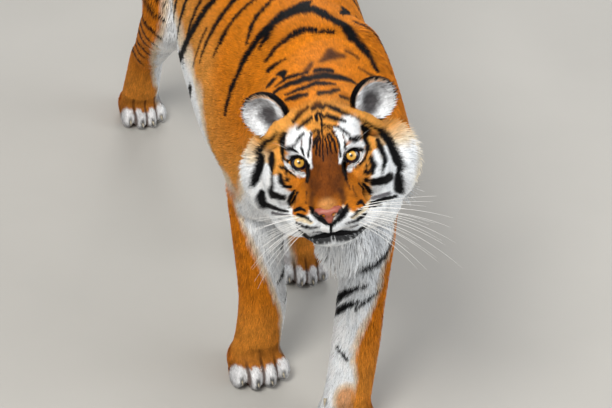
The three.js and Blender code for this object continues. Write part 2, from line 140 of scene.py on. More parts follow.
def noise(points: Array, size: float, seed: int = 0) -> Array:
    """Soft random values from -1 to 1 that change over about `size`.

    A lattice of hashed values is blended with soft steps in each cell.

    Args:
        points: places, one per row.
        size: distance between lattice values.
        seed: picks another pattern.

    Returns:
        One value per point.
    """
    cell = points / size + 17.3 * seed
    low = np.floor(cell).astype(np.int64)
    f = cell - low
    f = f * f * (3 - 2 * f)
    total = np.zeros(len(points))
    for corner in range(8):
        step = np.array([corner & 1, corner >> 1 & 1, corner >> 2 & 1])
        key = (low + step) @ CELL_HASH + seed * SEED_HASH
        key = (key ^ (key >> 13)) * FIRST_HASH & HASH_BITS
        key = (key ^ (key >> 15)) * SECOND_HASH & HASH_BITS
        value = (key % HASH_VALUES) / (HASH_VALUES // 2) - 1.0
        total += value * np.prod(np.where(step == 1, f, 1 - f), axis=1)
    return total


# ---- Soft bodies


def soft_min(a: Array, b: Array, width: float) -> Array:
    """The lesser of two distances, lowered where they are nearly equal: h squared over four widths."""
    h = np.maximum(width - np.abs(a - b), 0.0)
    return np.minimum(a, b) - h * h / (4 * width)


def folded(points: Array) -> Array:
    """Points turned over to the left side."""
    return np.column_stack([np.abs(points[:, 0]), points[:, 1:]])


class Framed:
    """Something with an origin and axes of its own, the axes being the columns of a matrix."""

    def local(self, points: Array) -> Array:
        """Outer points in its own frame."""
        return (points - np.array(self.origin)) @ self.axes

    def world(self, points: Array) -> Array:
        """Its own points in the outer frame."""
        return np.asarray(points, float) @ self.axes.T + np.array(self.origin)


class Body:
    """A soft solid, known by the distance of any point outside its surface."""

    low: Array
    high: Array

    def inside_box(self, points: Array, margin: float = 70.0) -> Array:
        """Which points lie in the body's box grown by a margin."""
        return ((points > self.low - margin) & (points < self.high + margin)).all(axis=1)

    def near(self, points: Array) -> Array:
        """Distance outside the surface, worked out only near the body's box."""
        result = np.full(len(points), FAR)
        mask = self.inside_box(points)
        if mask.any():
            result[mask] = self.distance(points[mask])
        return result

    def distance(self, points: Array) -> Array:
        """Distance outside the surface, negative inside."""
        raise NotImplementedError


def ellipsoid_distance(offset: Array, halves: Array) -> Array:
    """Distance-like value of an ellipsoid: n(n - 1)/s, n its scaled radius and s that radius's slope."""
    n = np.linalg.norm(offset / halves, axis=-1)
    s = np.linalg.norm(offset / halves**2, axis=-1)
    return n * (n - 1.0) / np.maximum(s, 1e-9)


class Egg(Body):
    """An ellipsoid turned by three angles."""

    def __init__(self, centre: tuple, halves: tuple, turn: tuple = (0.0, 0.0, 0.0)) -> None:
        """Keeps the centre, the half sizes and the axes."""
        self.centre, self.halves, self.axes = np.array(centre, float), np.array(halves, float), turn_xyz(turn)
        reach = np.abs(self.axes) @ self.halves
        self.low, self.high = self.centre - reach, self.centre + reach

    def distance(self, points: Array) -> Array:
        """Distance outside the ellipsoid."""
        return ellipsoid_distance((points - self.centre) @ self.axes, self.halves)


def smooth_stations(stations: Array, steps: int = 5) -> Array:
    """Stations made into a fine run by a Catmull-Rom spline through them."""
    s = np.asarray(stations, float)
    a, b, c, d = s[np.r_[0, 0 : len(s) - 2]], s[:-1], s[1:], s[np.r_[2 : len(s), len(s) - 1]]
    t = (np.arange(steps) / steps)[None, :, None]
    a, b, c, d = (v[:, None, :] for v in (a, b, c, d))
    fine = b + 0.5 * t * (c - a + t * (2 * a - 5 * b + 4 * c - d + t * (3 * b - a - 3 * c + d)))
    return np.vstack([fine.reshape(-1, s.shape[1]), s[-1:]])


class Tube(Body):
    """A tube of egg-shaped section through stations (x, y, z, side, over, under)."""

    def __init__(self, stations: list) -> None:
        """Works out the fine stations and the frame of each run between them."""
        self.fine = smooth_stations(stations)
        self.start, self.end = self.fine[:-1], self.fine[1:]
        self.span = self.end[:, :3] - self.start[:, :3]
        self.length = np.linalg.norm(self.span, axis=1)
        self.reached = np.r_[0.0, np.cumsum(self.length)]
        self.along = unit(self.span)
        self.over = unit(np.cross([1.0, 0.0, 0.0], self.along))
        self.side = np.cross(self.along, self.over)
        reach = self.fine[:, 3:].max(axis=1, keepdims=True)
        self.low, self.high = (self.fine[:, :3] - reach).min(0), (self.fine[:, :3] + reach).max(0)

    def run_values(self, points: Array, i: int) -> tuple[Array, Array, Array]:
        """Where points are about one run.

        Args:
            points: places, one per row.
            i: the run's number.

        Returns:
            Distance outside the run, place along the whole tube, and the offset in the run's own frame.
        """
        a, b = self.start[i], self.end[i]
        t = np.clip((points - a[:3]) @ self.span[i] / self.length[i] ** 2, 0.0, 1.0)
        s = a + (b - a) * t[:, None]
        o = points - s[:, :3]
        height = o @ self.over[i]
        depth = np.where(height > 0, s[:, 4], s[:, 5])
        halves = np.stack([s[:, 3], depth, np.minimum(s[:, 3], depth)], axis=1)
        local = np.stack([o @ self.side[i], height, o @ self.along[i]], axis=1)
        return ellipsoid_distance(local, halves), self.reached[i] + t * self.length[i], local

    def beside(self, points: Array, i: int, margin: float = 55.0) -> Array:
        """Which points lie beside run i, or past it where it is the tube's end."""
        along = (points - self.start[i, :3]) @ self.along[i]
        after = (along > -margin) | (i == 0)
        before = (along < self.length[i] + margin) | (i == len(self.start) - 1)
        return after & before

    def distance(self, points: Array) -> Array:
        """The least distance over the runs, each tried only on the points beside it."""
        best = np.full(len(points), FAR)
        for i in range(len(self.start)):
            mask = self.beside(points, i)
            if mask.any():
                best[mask] = np.minimum(best[mask], self.run_values(points[mask], i)[0])
        return best

    def chart(self, points: Array) -> tuple[Array, Array, Array]:
        """Place along the tube, angle round it from its upper side, and the tube's direction there.

        Args:
            points: places near the tube.

        Returns:
            Distance along in mm, angle in degrees (positive towards +X), and unit directions.
        """
        best = np.full(len(points), FAR)
        place, angle = np.zeros(len(points)), np.zeros(len(points))
        way = np.tile(self.along[0], (len(points), 1))
        for i in range(len(self.start)):
            rows = np.flatnonzero(self.beside(points, i))
            if not len(rows):
                continue
            d, s, local = self.run_values(points[rows], i)
            closer = d < best[rows]
            picked = rows[closer]
            best[picked], place[picked] = d[closer], s[closer]
            angle[picked] = np.degrees(np.arctan2(local[closer, 0], local[closer, 1]))
            way[picked] = self.along[i]
        return place, angle, way


class Blend(Body):
    """Bodies run together over a soft width."""

    def __init__(self, width: float, *bodies: Body) -> None:
        """Keeps the bodies and their common box."""
        self.width, self.bodies = width, bodies
        self.low = np.min([b.low for b in bodies], axis=0)
        self.high = np.max([b.high for b in bodies], axis=0)

    def distance(self, points: Array) -> Array:
        """Least distance, lowered where two bodies are nearly as close."""
        low = np.full(len(points), FAR * 2)
        for body in self.bodies:
            low = soft_min(low, body.near(points), self.width)
        return low


class Hollowed(Body):
    """A body with a soft hollow pressed into it."""

    def __init__(self, body: Body, dent: Body, width: float) -> None:
        """Keeps the body, the dent and the softness of the hollow's edge."""
        self.body, self.dent, self.width = body, dent, width
        self.low, self.high = body.low, body.high

    def distance(self, points: Array) -> Array:
        """Greatest of the body's distance and the dent's negative one, raised softly where they meet."""
        return -soft_min(-self.body.near(points), self.dent.near(points), self.width)


class Mirrored(Body):
    """A body made on the left side and repeated on the right."""

    def __init__(self, body: Body) -> None:
        """Keeps the left body."""
        self.body = body
        reach = max(abs(body.low[0]), abs(body.high[0]))
        self.low, self.high = body.low.copy(), body.high.copy()
        self.low[0], self.high[0] = -reach, reach

    def distance(self, points: Array) -> Array:
        """Distance of the point folded over to the left side."""
        return self.body.near(folded(points))


# ---- The tiger's form


@dataclass(frozen=True)
class HeadPlace(Framed):
    """Where the head is and how it is turned: to its right, nose up, left side up."""

    origin: tuple = (-95.0, -400.0, 825.0)
    yaw: float = 15.5
    pitch: float = 14.0
    roll: float = 12.0

    @property
    def axes(self) -> Array:
        """Columns are the head's own axes: left, back and up."""
        return turn_z(-self.yaw) @ turn_x(-self.pitch) @ turn_y(-self.roll)

    def turned(self, vectors: Array) -> Array:
        """Head-frame directions in the tiger's frame."""
        return np.asarray(vectors, float) @ self.axes.T


HEAD = HeadPlace()


class InHead(Body):
    """A body made in the head's frame, stood in the tiger's."""

    def __init__(self, body: Body) -> None:
        """Keeps the body and the box that holds its turned corners."""
        self.body = body
        picks = np.array([[i & 1, i >> 1 & 1, i >> 2 & 1] for i in range(8)], bool)
        corners = HEAD.world(np.where(picks, body.high, body.low))
        self.low, self.high = corners.min(0), corners.max(0)

    def distance(self, points: Array) -> Array:
        """Distance in the head's frame."""
        return self.body.near(HEAD.local(points))


class Limb(Enum):
    """The four legs."""

    FORE_RIGHT = "fore_right"
    FORE_LEFT = "fore_left"
    HIND_RIGHT = "hind_right"
    HIND_LEFT = "hind_left"

    @property
    def fore(self) -> bool:
        """Whether it is a fore leg."""
        return self.value.startswith("fore")

    @property
    def side(self) -> int:
        """One on the tiger's left, minus one on its right."""
        return 1 if self.value.endswith("left") else -1


@dataclass(frozen=True)
class LegShape:
    """Joints of a leg from the blade or hip down, the paw's middle on the ground and its turn."""

    joints: tuple
    paw: tuple
    splay: float


@dataclass(frozen=True)
class PawSize:
    """Outer size of a paw."""

    width: float
    length: float
    height: float


LEGS: dict[Limb, LegShape] = {
    Limb.FORE_RIGHT: LegShape(((-76, 40, 784), (-112, -112, 622), (-120, 28, 446), (-96, 0, 158)),
                              (-112, -14), 5),
    Limb.FORE_LEFT: LegShape(((70, 20, 784), (98, -140, 632), (118, -36, 436), (58, -182, 160)),
                             (35, -232), -2),
    Limb.HIND_RIGHT: LegShape(((-98, 850, 712), (-156, 742, 446), (-167, 942, 208)), (-170, 1000), 6),
    Limb.HIND_LEFT: LegShape(((92, 850, 712), (126, 632, 440), (84, 432, 214)), (72, 318), -3),
}
PAWS = {True: PawSize(132, 150, 74), False: PawSize(110, 142, 66)}
# Sections of a leg: bone number, place along that bone, half width, rear half depth, front half depth.
FORE_SECTIONS = (
    (0, 0.0, 50, 100, 80), (0, 0.5, 66, 124, 94), (0, 1.0, 66, 128, 76), (1, 0.5, 60, 104, 78),
    (1, 1.0, 56, 68, 62), (2, 0.25, 56, 54, 60), (2, 0.6, 52, 46, 50), (2, 0.9, 52, 46, 42),
)
HIND_SECTIONS = (
    (0, 0.0, 80, 134, 128), (0, 0.5, 82, 124, 120), (0, 1.0, 62, 92, 70),
    (1, 0.4, 52, 62, 50), (1, 0.8, 41, 42, 42), (1, 1.0, 40, 42, 38),
)
# Sections of the trunk: y, top, bottom, height of the widest line, half width.
TRUNK_SECTIONS = (
    (0, -185, 740, 535, 635, 84), (-6, -110, 822, 456, 612, 126), (-19, 0, 868, 420, 578, 176),
    (-22, 130, 862, 406, 572, 194), (-16, 270, 850, 398, 574, 199), (-9, 410, 850, 396, 580, 199),
    (-4, 550, 857, 408, 604, 188), (0, 690, 866, 440, 634, 166), (0, 810, 868, 500, 666, 142),
    (0, 910, 850, 560, 684, 120), (0, 985, 812, 618, 704, 92), (0, 1030, 776, 666, 724, 56),
)
# Middle and half sizes of the breast's fullness beside the leading fore leg.
BRISKET = ((34, -104, 440), (60, 74, 112))
NECK_STATIONS = (
    (-74, -262, 770, 112, 110, 118), (-52, -180, 748, 118, 126, 140),
    (-24, -90, 722, 130, 140, 160), (0, 10, 700, 140, 160, 170),
)
TAIL_STATIONS = (
    (0, 985, 760, 52, 46, 50), (-4, 1075, 705, 43, 42, 44), (-12, 1160, 590, 38, 38, 38),
    (-20, 1215, 450, 35, 35, 35), (-22, 1270, 320, 34, 34, 34), (-10, 1365, 222, 33, 33, 33),
    (18, 1480, 196, 32, 32, 32), (46, 1575, 240, 29, 29, 29), (56, 1618, 292, 22, 22, 22),
)


class Paw(Framed, Body):
    """Four toes and a pad, in the paw's own frame: x across, y back, z up from the ground."""

    def __init__(self, limb: Limb) -> None:
        """Builds the toes and the pad from the paw's outer size."""
        size, self.leg = PAWS[limb.fore], LEGS[limb]
        self.size = size
        halves = (size.width * 0.148, size.length * 0.22, size.height * 0.41)
        self.toes = []
        for place in (-1.5, -0.5, 0.5, 1.5):
            back = -0.15 if abs(place) > 1 else -0.26
            centre = (place * size.width * 0.236, back * size.length, size.height * 0.38)
            self.toes.append(Egg(centre, halves, (0, 0, place * 7)))
        pad_halves = (size.width * 0.44, size.length * 0.4, size.height * 0.52)
        pad = Egg((0, size.length * 0.07, size.height * 0.44), pad_halves)
        self.body = Blend(16.0, *self.toes, pad)
        self.origin, self.axes = (*self.leg.paw, 0.0), turn_z(self.leg.splay)
        reach = max(size.width, size.length)
        self.low = np.array([self.leg.paw[0] - reach, self.leg.paw[1] - reach, -20.0])
        self.high = np.array([self.leg.paw[0] + reach, self.leg.paw[1] + reach, size.height * 1.2])

    def distance(self, points: Array) -> Array:
        """Distance outside the toes and the pad."""
        return self.body.near(self.local(points))


def leg_stations(limb: Limb) -> list:
    """Stations of a leg's tube, from its shape and sections."""
    leg, size = LEGS[limb], PAWS[limb.fore]
    joints = np.array(leg.joints, float)
    sections = FORE_SECTIONS if limb.fore else HIND_SECTIONS
    stations = [
        [*(joints[bone] + (joints[bone + 1] - joints[bone]) * along), side, rear, front]
        for bone, along, side, rear, front in sections
    ]
    knuckle = np.array([leg.paw[0], leg.paw[1] + size.length * 0.08, size.height * 0.72])
    middle = joints[-1] + (knuckle - joints[-1]) * 0.55
    stations.append([*middle, size.width * 0.385, 40, 40])
    stations.append([*knuckle, size.width * 0.4, 42, 40])
    return stations


def skull_bodies() -> list[Body]:
    """Cranium, forehead, bridge, brows, cheekbones, jaw muscles and muzzle, in the head's frame."""
    bridge = Tube([
        (0, 20, 2, 38, 26, 40), (0, -45, -22, 34, 24, 40), (0, -98, -50, 30, 20, 30),
        (0, -116, -58, 26, 18, 22),
    ])
    paired = Blend(
        14.0,
        Egg((48, 22, 22), (27, 32, 17), (0, 20, 0)),
        Egg((76, 48, -38), (50, 76, 56)),
        Egg((78, 60, -80), (46, 64, 52)),
        Egg((30, -40, -58), (33, 62, 34)),
        Egg((36, -86, -74), (35, 43, 33)),
        Egg((80, 68, 40), (44, 26, 18), (0, 35, 0)),
    )
    return [
        Egg((0, 84, -8), (86, 104, 84)), Egg((0, 24, 2), (60, 58, 44)), bridge, Mirrored(paired),
        Egg((0, -62, -76), (34, 58, 30)), Egg((0, -112, -82), (24, 22, 20)),
    ]


def jaw_bodies() -> list[Body]:
    """Chin, jaw bars and throat, in the head's frame."""
    bar = Tube([(24, -74, -114, 26, 26, 24), (50, -10, -112, 34, 32, 30), (66, 60, -104, 46, 46, 42)])
    return [Egg((0, -84, -117), (37, 30, 24)), Mirrored(bar), Egg((0, 55, -108), (76, 100, 56))]


def ruff_bodies() -> list[Body]:
    """Long hair behind and under the cheeks, in the head's frame."""
    cheek = Egg((103, 108, -62), (72, 66, 84), (0, 3, 0))
    return [Mirrored(cheek), Mirrored(Egg((64, 90, -124), (68, 68, 58))), Egg((0, 165, 0), (96, 92, 76))]


class Region(Enum):
    """Parts of the coat, each with its own pieces."""

    HEAD = 0
    NECK = 1
    TRUNK = 2
    TAIL = 3
    FORE_RIGHT = 4
    FORE_LEFT = 5
    HIND_RIGHT = 6
    HIND_LEFT = 7

    @property
    def limb(self) -> Limb | None:
        """The leg that this region is, if it is one."""
        return Limb(self.name.lower()) if self.value >= Region.FORE_RIGHT.value else None


# How softly the regions run into each other and how far their looks mix, in mm.
NECK_BLEND, LIMB_BLEND, PAW_BLEND, SKULL_BLEND, REGION_MIX = 45.0, 40.0, 20.0, 14.0, 14.0


class Form:
    """The whole tiger out to the tips of its coat, and the depth of the coat over the skin."""

    def __init__(self) -> None:
        """Builds the bodies of every region."""
        dent = Mirrored(Egg((49, -8, -5), (24, 17, 17)))
        skull = Blend(SKULL_BLEND, *skull_bodies(), *jaw_bodies(), *ruff_bodies())
        self.head = InHead(Hollowed(skull, dent, 10.0))
        self.neck = Tube(list(NECK_STATIONS))
        rows = TRUNK_SECTIONS
        run = Tube([(x, y, wide, side, top - wide, wide - low) for x, y, top, low, wide, side in rows])
        self.trunk = Blend(NECK_BLEND, run, Egg(*BRISKET))
        self.tail = Tube(list(TAIL_STATIONS))
        self.paws = {limb: Paw(limb) for limb in Limb}
        self.columns = {limb: Tube(leg_stations(limb)) for limb in Limb}
        self.legs = {limb: Blend(PAW_BLEND, self.columns[limb], self.paws[limb]) for limb in Limb}
        self.parts = [self.head, self.neck, self.trunk, self.tail, *self.legs.values()]

    def distances(self, points: Array) -> Array:
        """Distance outside every region's body, a row for each region in the order of Region."""
        return np.stack([part.near(points) for part in self.parts])

    def joined(self, distances: Array) -> Array:
        """The distance outside the whole animal, from those of its regions."""
        head, neck, trunk, tail = distances[:4]
        whole = soft_min(soft_min(trunk, neck, NECK_BLEND), head, LIMB_BLEND)
        for part in (*distances[4:], tail):
            whole = soft_min(whole, part, LIMB_BLEND)
        return whole

    def shares(self, distances: Array, soft: float = REGION_MIX) -> Array:
        """How much each region has a say at each point: they add up to one and fade over `soft` mm."""
        weight = np.exp(-(distances - distances.min(0)) / soft)
        return weight / weight.sum(0)

    def depth(self, points: Array, shares: Array) -> Array:
        """Depth of the coat over the skin, deepest on the ruff and the belly and least on the bridge."""
        x, y, z = HEAD.local(points).T
        ruff = smooth(35, 120, y) * smooth(60, 120, np.abs(x) + 0.6 * np.maximum(-z - 40, 0))
        head = 2.2 + 1.8 * smooth(-60, 10, y) + 2 * smooth(40, 110, y) + 14 * ruff
        height = points[:, 2]
        trunk = 5.5 + 12 * smooth(570, 480, height)
        leg = 3.0 + 2.5 * smooth(70, 260, height) + 6 * smooth(430, 520, height) * smooth(620, 540, height)
        by_region = [head, 6 + 10 * smooth(700, 560, height), trunk, 6.5, leg, leg, leg, leg]
        return sum(share * value for share, value in zip(shares, by_region))

    def skin(self, points: Array) -> Array:
        """Distance outside the skin."""
        distances = self.distances(points)
        return self.joined(distances) + self.depth(points, self.shares(distances))


# ---- Meshes


@dataclass
class Mesh:
    """Points in mm and triangles, with their corners turning left about the outward side."""

    points: Array
    faces: Array

    def normals(self) -> Array:
        """Outward direction at every point, each face counting by its area."""
        a, b, c = (self.points[self.faces[:, i]] for i in range(3))
        across = np.cross(b - a, c - a)
        total = np.zeros_like(self.points)
        for i in range(3):
            for axis in range(3):
                total[:, axis] += np.bincount(self.faces[:, i], across[:, axis], len(self.points))
        return unit(total)

    def relaxed(self, share: float, where: Array | None = None) -> "Mesh":
        """The mesh with its points drawn towards their neighbours' middle."""
        total, count = np.zeros_like(self.points), np.zeros(len(self.points))
        for i in range(3):
            for j in (1, 2):
                start, end = self.faces[:, i], self.faces[:, (i + j) % 3]
                count += np.bincount(start, minlength=len(self.points))
                for axis in range(3):
                    total[:, axis] += np.bincount(start, self.points[end, axis], len(self.points))
        middle = total / np.maximum(count, 1)[:, None]
        amount = share if where is None else share * where[:, None]
        return Mesh(self.points + (middle - self.points) * amount, self.faces)


def lattice_values(field_of: Field, low: Array, counts: Array, cell: float, skip: int = 4) -> Array:
    """Values of a field on a lattice, worked out one by one only near its surface.

    A rough lattice, `skip` cells apart, says where the surface may be. Elsewhere its nearest value stands.

    Args:
        field_of: gives values at points.
        low: the lattice's lowest corner.
        counts: its points along each axis.
        cell: the distance between them.
        skip: cells between the rough lattice's points.

    Returns:
        A value for each lattice point, in three dimensions.
    """
    rough_axes = [low[i] + cell * skip * np.arange(math.ceil(counts[i] / skip) + 1) for i in range(3)]
    rough_shape = [len(a) for a in rough_axes]
    rough_points = np.stack(np.meshgrid(*rough_axes, indexing="ij"), -1).reshape(-1, 3)
    rough = field_of(rough_points).reshape(rough_shape)
    pairs = zip(counts, rough_shape)
    nearest = np.ix_(*[np.minimum((np.arange(n) + skip // 2) // skip, r - 1) for n, r in pairs])
    values = rough[nearest].copy()
    rows = np.flatnonzero(np.abs(values.ravel()) < 1.5 * skip * cell)
    places = np.stack(np.unravel_index(rows, counts), 1) * cell + low
    flat = values.ravel()
    for start in range(0, len(rows), 200000):
        part = slice(start, start + 200000)
        flat[rows[part]] = field_of(places[part])
    return flat.reshape(counts)


def surface_net(field_of: Field, low: tuple, high: tuple, cell: float) -> Mesh:
    """A closed mesh on the zero level of a field, with one point in each lattice cell that the level crosses.

    Args:
        field_of: gives values at points, negative inside.
        low: lowest corner of the box to search.
        high: highest corner.
        cell: size of a lattice cell.

    Returns:
        The mesh, each point at the mean of its cell's crossings.
    """
    low = np.asarray(low, float)
    counts = np.ceil((np.asarray(high, float) - low) / cell).astype(int) + 1
    values = lattice_values(field_of, low, counts, cell)
    inside = values < 0
    cells = counts - 1
    total, count = np.zeros((cells.prod(), 3)), np.zeros(cells.prod())
    quads = []
    for axis in range(3):
        first, second = (axis + 1) % 3, (axis + 2) % 3
        a = np.take(inside, range(counts[axis] - 1), axis)
        b = np.take(inside, range(1, counts[axis]), axis)
        start = np.stack(np.nonzero(a != b), 1)
        held = (start[:, first] > 0) & (start[:, second] > 0)
        start = start[held & (start[:, first] < cells[first]) & (start[:, second] < cells[second])]
        end = start.copy()
        end[:, axis] += 1
        v0, v1 = values[tuple(start.T)], values[tuple(end.T)]
        crossing = start.astype(float)
        crossing[:, axis] += v0 / (v0 - v1)
        ring = []
        for back_first, back_second in ((0, 0), (1, 0), (1, 1), (0, 1)):
            near = start.copy()
            near[:, first] -= back_first
            near[:, second] -= back_second
            ring.append(np.ravel_multi_index(tuple(near.T), cells))
        for index in ring:
            count += np.bincount(index, minlength=len(count))
            for i in range(3):
                total[:, i] += np.bincount(index, crossing[:, i], len(count))
        quad = np.stack(ring, 1)
        quads.append(np.where((v0 < 0)[:, None], quad, quad[:, ::-1]))
    used = np.flatnonzero(count)
    number = np.full(len(count), -1)
    number[used] = np.arange(len(used))
    points = total[used] / count[used, None] * cell + low
    quads = number[np.vstack(quads)]
    faces = np.vstack([quads[:, [0, 1, 2]], quads[:, [0, 2, 3]]])
    return Mesh(points, faces)


def split_long(mesh: Mesh, limit: Field) -> Mesh:
    """Splits every edge longer than its limit at its middle, and cuts the faces beside it to match.

    Args:
        mesh: the mesh to refine.
        limit: gives the longest edge allowed at the middles of edges.

    Returns:
        The finer mesh, its old points first.
    """
    points, faces, n = mesh.points, mesh.faces, len(mesh.points)
    ends = np.sort(faces[:, [0, 1, 1, 2, 2, 0]].reshape(-1, 2), axis=1)
    keys, back = np.unique(ends[:, 0] * n + ends[:, 1], return_inverse=True)
    pair = np.stack([keys // n, keys % n], 1)
    middle = points[pair].mean(1)
    long = np.linalg.norm(points[pair[:, 0]] - points[pair[:, 1]], axis=1) > limit(middle)
    fresh = np.full(len(keys), -1)
    fresh[long] = n + np.arange(long.sum())
    halves = fresh[back.reshape(-1)].reshape(-1, 3)
    count = (halves >= 0).sum(1)
    result = [faces[count == 0]]

    def rolled(rows: Array, first: Array) -> tuple[Array, Array]:
        """Faces and their edge middles, turned so that a chosen edge comes first."""
        order = (first[:, None] + np.arange(3)) % 3
        return np.take_along_axis(faces[rows], order, 1), np.take_along_axis(halves[rows], order, 1)

    rows = np.flatnonzero(count == 1)
    f, h = rolled(rows, (halves[rows] >= 0).argmax(1))
    result += [np.stack([f[:, 0], h[:, 0], f[:, 2]], 1), np.stack([h[:, 0], f[:, 1], f[:, 2]], 1)]
    rows = np.flatnonzero(count == 2)
    f, h = rolled(rows, ((halves[rows] < 0).argmax(1) + 1) % 3)
    result += [
        np.stack([h[:, 0], f[:, 1], h[:, 1]], 1),
        np.stack([f[:, 0], h[:, 0], h[:, 1]], 1),
        np.stack([f[:, 0], h[:, 1], f[:, 2]], 1),
    ]
    rows = np.flatnonzero(count == 3)
    f, h = faces[rows], halves[rows]
    result += [np.stack([f[:, i], h[:, i], h[:, (i + 2) % 3]], 1) for i in range(3)] + [h]
    return Mesh(np.vstack([points, middle[long]]), np.vstack(result))


# ---- Eyes, mouth and nose in the head's frame


@dataclass(frozen=True)
class Eye(Framed):
    """An eyeball, its gaze and the slanted opening between its lids."""

    side: int
    radius: float = 19.0
    lid: float = 2.2
    gaze: tuple = (0.07, -0.94, 0.35)
    # The lids' edge seen along the gaze: outwards from the iris's middle, and up.
    edge: tuple = (
        (17, 3), (12, 9.5), (3, 11.5), (-6, 9), (-11, 2), (-12.5, -7), (-9, -14), (1, -16.5), (10, -12.5),
        (15.5, -5),
    )

    @property
    def origin(self) -> Array:
        """Middle of the eyeball."""
        return np.array([50.0 * self.side, 13.0, -4.0])

    @property
    def axes(self) -> Array:
        """Columns are outwards from the nose, up along the face, and the gaze."""
        ahead = unit(np.array(self.gaze))
        outward = across_plane(np.array([self.side, 0.0, 0.0]), ahead)
        upward = unit(np.cross(ahead, outward)) * self.side
        return np.stack([outward, upward, ahead], 1)

    def opening(self, angle: Array) -> Array:
        """Distance of the lids' edge from the gaze line at an angle round it."""
        edge = np.array(self.edge, float)
        at, reach = np.arctan2(edge[:, 1], edge[:, 0]), np.hypot(edge[:, 0], edge[:, 1])
        order = np.argsort(at)
        return np.interp(angle, at[order], reach[order], period=2 * math.pi)

    def ratio(self, local: Array) -> Array:
        """Distance from the gaze line over that of the lids' edge on the same side."""
        return np.hypot(local[:, 0], local[:, 1]) / self.opening(np.arctan2(local[:, 1], local[:, 0]))


EYES = (Eye(-1), Eye(1))
# Where the lips meet, from the middle to the left corner, and the groove from the nose down to it.
LIPS = ((0, -112, -104), (10, -111, -108), (22, -106, -111), (33, -99, -114), (45, -82, -119),
        (56, -54, -122), (62, -32, -116))
PHILTRUM = ((0, -128, -82), (0, -124, -92), (0, -119, -101))


def line_distance(points: Array, line: Array) -> tuple[Array, Array]:
    """Distance of each point from a line through points.

    Args:
        points: places, one per row.
        line: the points that the line joins.

    Returns:
        The distances, and the share of the line reached at the nearest place.
    """
    line = np.asarray(line, float)
    best, place = np.full(len(points), FAR), np.zeros(len(points))
    for i, (a, b) in enumerate(zip(line[:-1], line[1:])):
        t = np.clip((points - a) @ (b - a) / max(((b - a) ** 2).sum(), 1e-9), 0.0, 1.0)
        d = np.linalg.norm(points - a - t[:, None] * (b - a), axis=1)
        closer = d < best
        best[closer], place[closer] = d[closer], (i + t[closer]) / (len(line) - 1)
    return best, place


@dataclass(frozen=True)
class Fold:
    """A groove pressed into the skin along a line in the head's frame, or a ridge where it is negative."""

    line: tuple
    deep: float
    wide: float
    paired: bool = True

    def press(self, points: Array) -> Array:
        """How far head-frame points go in: the depth times e to the minus square of d over the width."""
        at = folded(points) if self.paired else points
        d, place = line_distance(at, self.line)
        ends = smooth(1.0, 0.8, place) if self.paired else 1.0
        return self.deep * np.exp(-((d / self.wide) ** 2)) * ends


FOLDS = (
    Fold(LIPS, 6.0, 3.0),
    Fold(PHILTRUM, 3.0, 2.2, paired=False),
    Fold(((26, -30, 6), (30, -14, 18), (44, 2, 26), (62, 16, 24)), -2.5, 9.0),
    Fold(((34, -30, -30), (42, -28, -32), (56, -22, -28), (68, -8, -16)), 1.6, 5.0),
    Fold(((28, -96, -52), (40, -78, -48), (52, -56, -52)), 2.0, 8.0),
)


class Skin:
    """One skin over the whole animal, finest on the face, with lids, folds and lips."""

    rough_cell = 11.0
    box = ((-262, -650, -12), (262, 1660, 990))
    lid_reach = 34.0
    lid_blend = 9.0
    ground_gap = 1.5

    def __init__(self, form: Form) -> None:
        """Nets the skin roughly, splits it finely where it needs detail and settles it on its surface."""
        self.form = form
        mesh = surface_net(self.field, *self.box, self.rough_cell)
        for _ in range(4):
            mesh = self.settled(split_long(mesh, self.edge_limit).relaxed(0.35))
        mesh = self.settled(mesh)
        self.mesh = self.detailed(mesh)
        log.info("skin has %d faces", len(self.mesh.faces))

    def field(self, points: Array) -> Array:
        """Distance outside the skin, with the lids over the eyeballs."""
        value = self.form.skin(points)
        local = HEAD.local(points)
        for eye in EYES:
            away = np.linalg.norm(local - eye.origin, axis=1)
            near = away < 60
            value[near] = soft_min(value[near], away[near] - eye.radius - eye.lid, self.lid_blend)
        return value

    def edge_limit(self, points: Array) -> Array:
        """Longest edge allowed: least round the eyes, small on the face and paws."""
        local = HEAD.local(points)
        face = np.linalg.norm((local - [0, -40, -40]) / [88, 105, 110], axis=1)
        head = np.linalg.norm((local - [0, 50, -30]) / [170, 150, 150], axis=1)
        limit = np.full(len(points), 10.0)
        limit[points[:, 2] < 80] = 7.0
        limit[head < 1] = 8.0
        limit[face < 1] = 4.6
        for eye in EYES:
            limit[np.linalg.norm(local - eye.origin, axis=1) < self.lid_reach] = 2.6
        return limit

    def settled(self, mesh: Mesh) -> Mesh:
        """The mesh moved along its normals onto the skin, and no lower than the ground."""
        points = mesh.points - mesh.normals() * np.clip(self.field(mesh.points), -6, 6)[:, None] * 0.9
        points[:, 2] = np.maximum(points[:, 2], self.ground_gap)
        return Mesh(points, mesh.faces)

    def detailed(self, mesh: Mesh) -> Mesh:
        """The mesh with its folds pressed in and its lids opened."""
        normals, local = mesh.normals(), HEAD.local(mesh.points)
        near = np.flatnonzero(np.linalg.norm(local - [0, -40, -50], axis=1) < 140)
        inward = sum(fold.press(local[near]) for fold in FOLDS)
        local[near] -= (normals[near] @ HEAD.axes) * inward[:, None]
        for eye in EYES:
            seen = eye.local(local)
            rows = np.flatnonzero((np.linalg.norm(seen, axis=1) < self.lid_reach) & (seen[:, 2] > 0))
            part = seen[rows]
            away = np.hypot(part[:, 0], part[:, 1])
            behind = np.sqrt(np.maximum((eye.radius - 3.5) ** 2 - away**2, 4.0))
            share = smooth(1.02, 0.88, eye.ratio(part))
            part[:, 2] = part[:, 2] * (1 - share) + behind * share
            local[rows] = eye.world(part)
        return Mesh(HEAD.world(local), mesh.faces)


# ---- Pieces for Blender


class Finish(Enum):
    """The record's material slots."""

    COAT = "coat"
    EAR = "ear_coat"
    NOSE = "nose_skin"
    EYE = "eye"
    CLAW = "claw"
    WHISKER = "whisker"
    LIP = "lip"


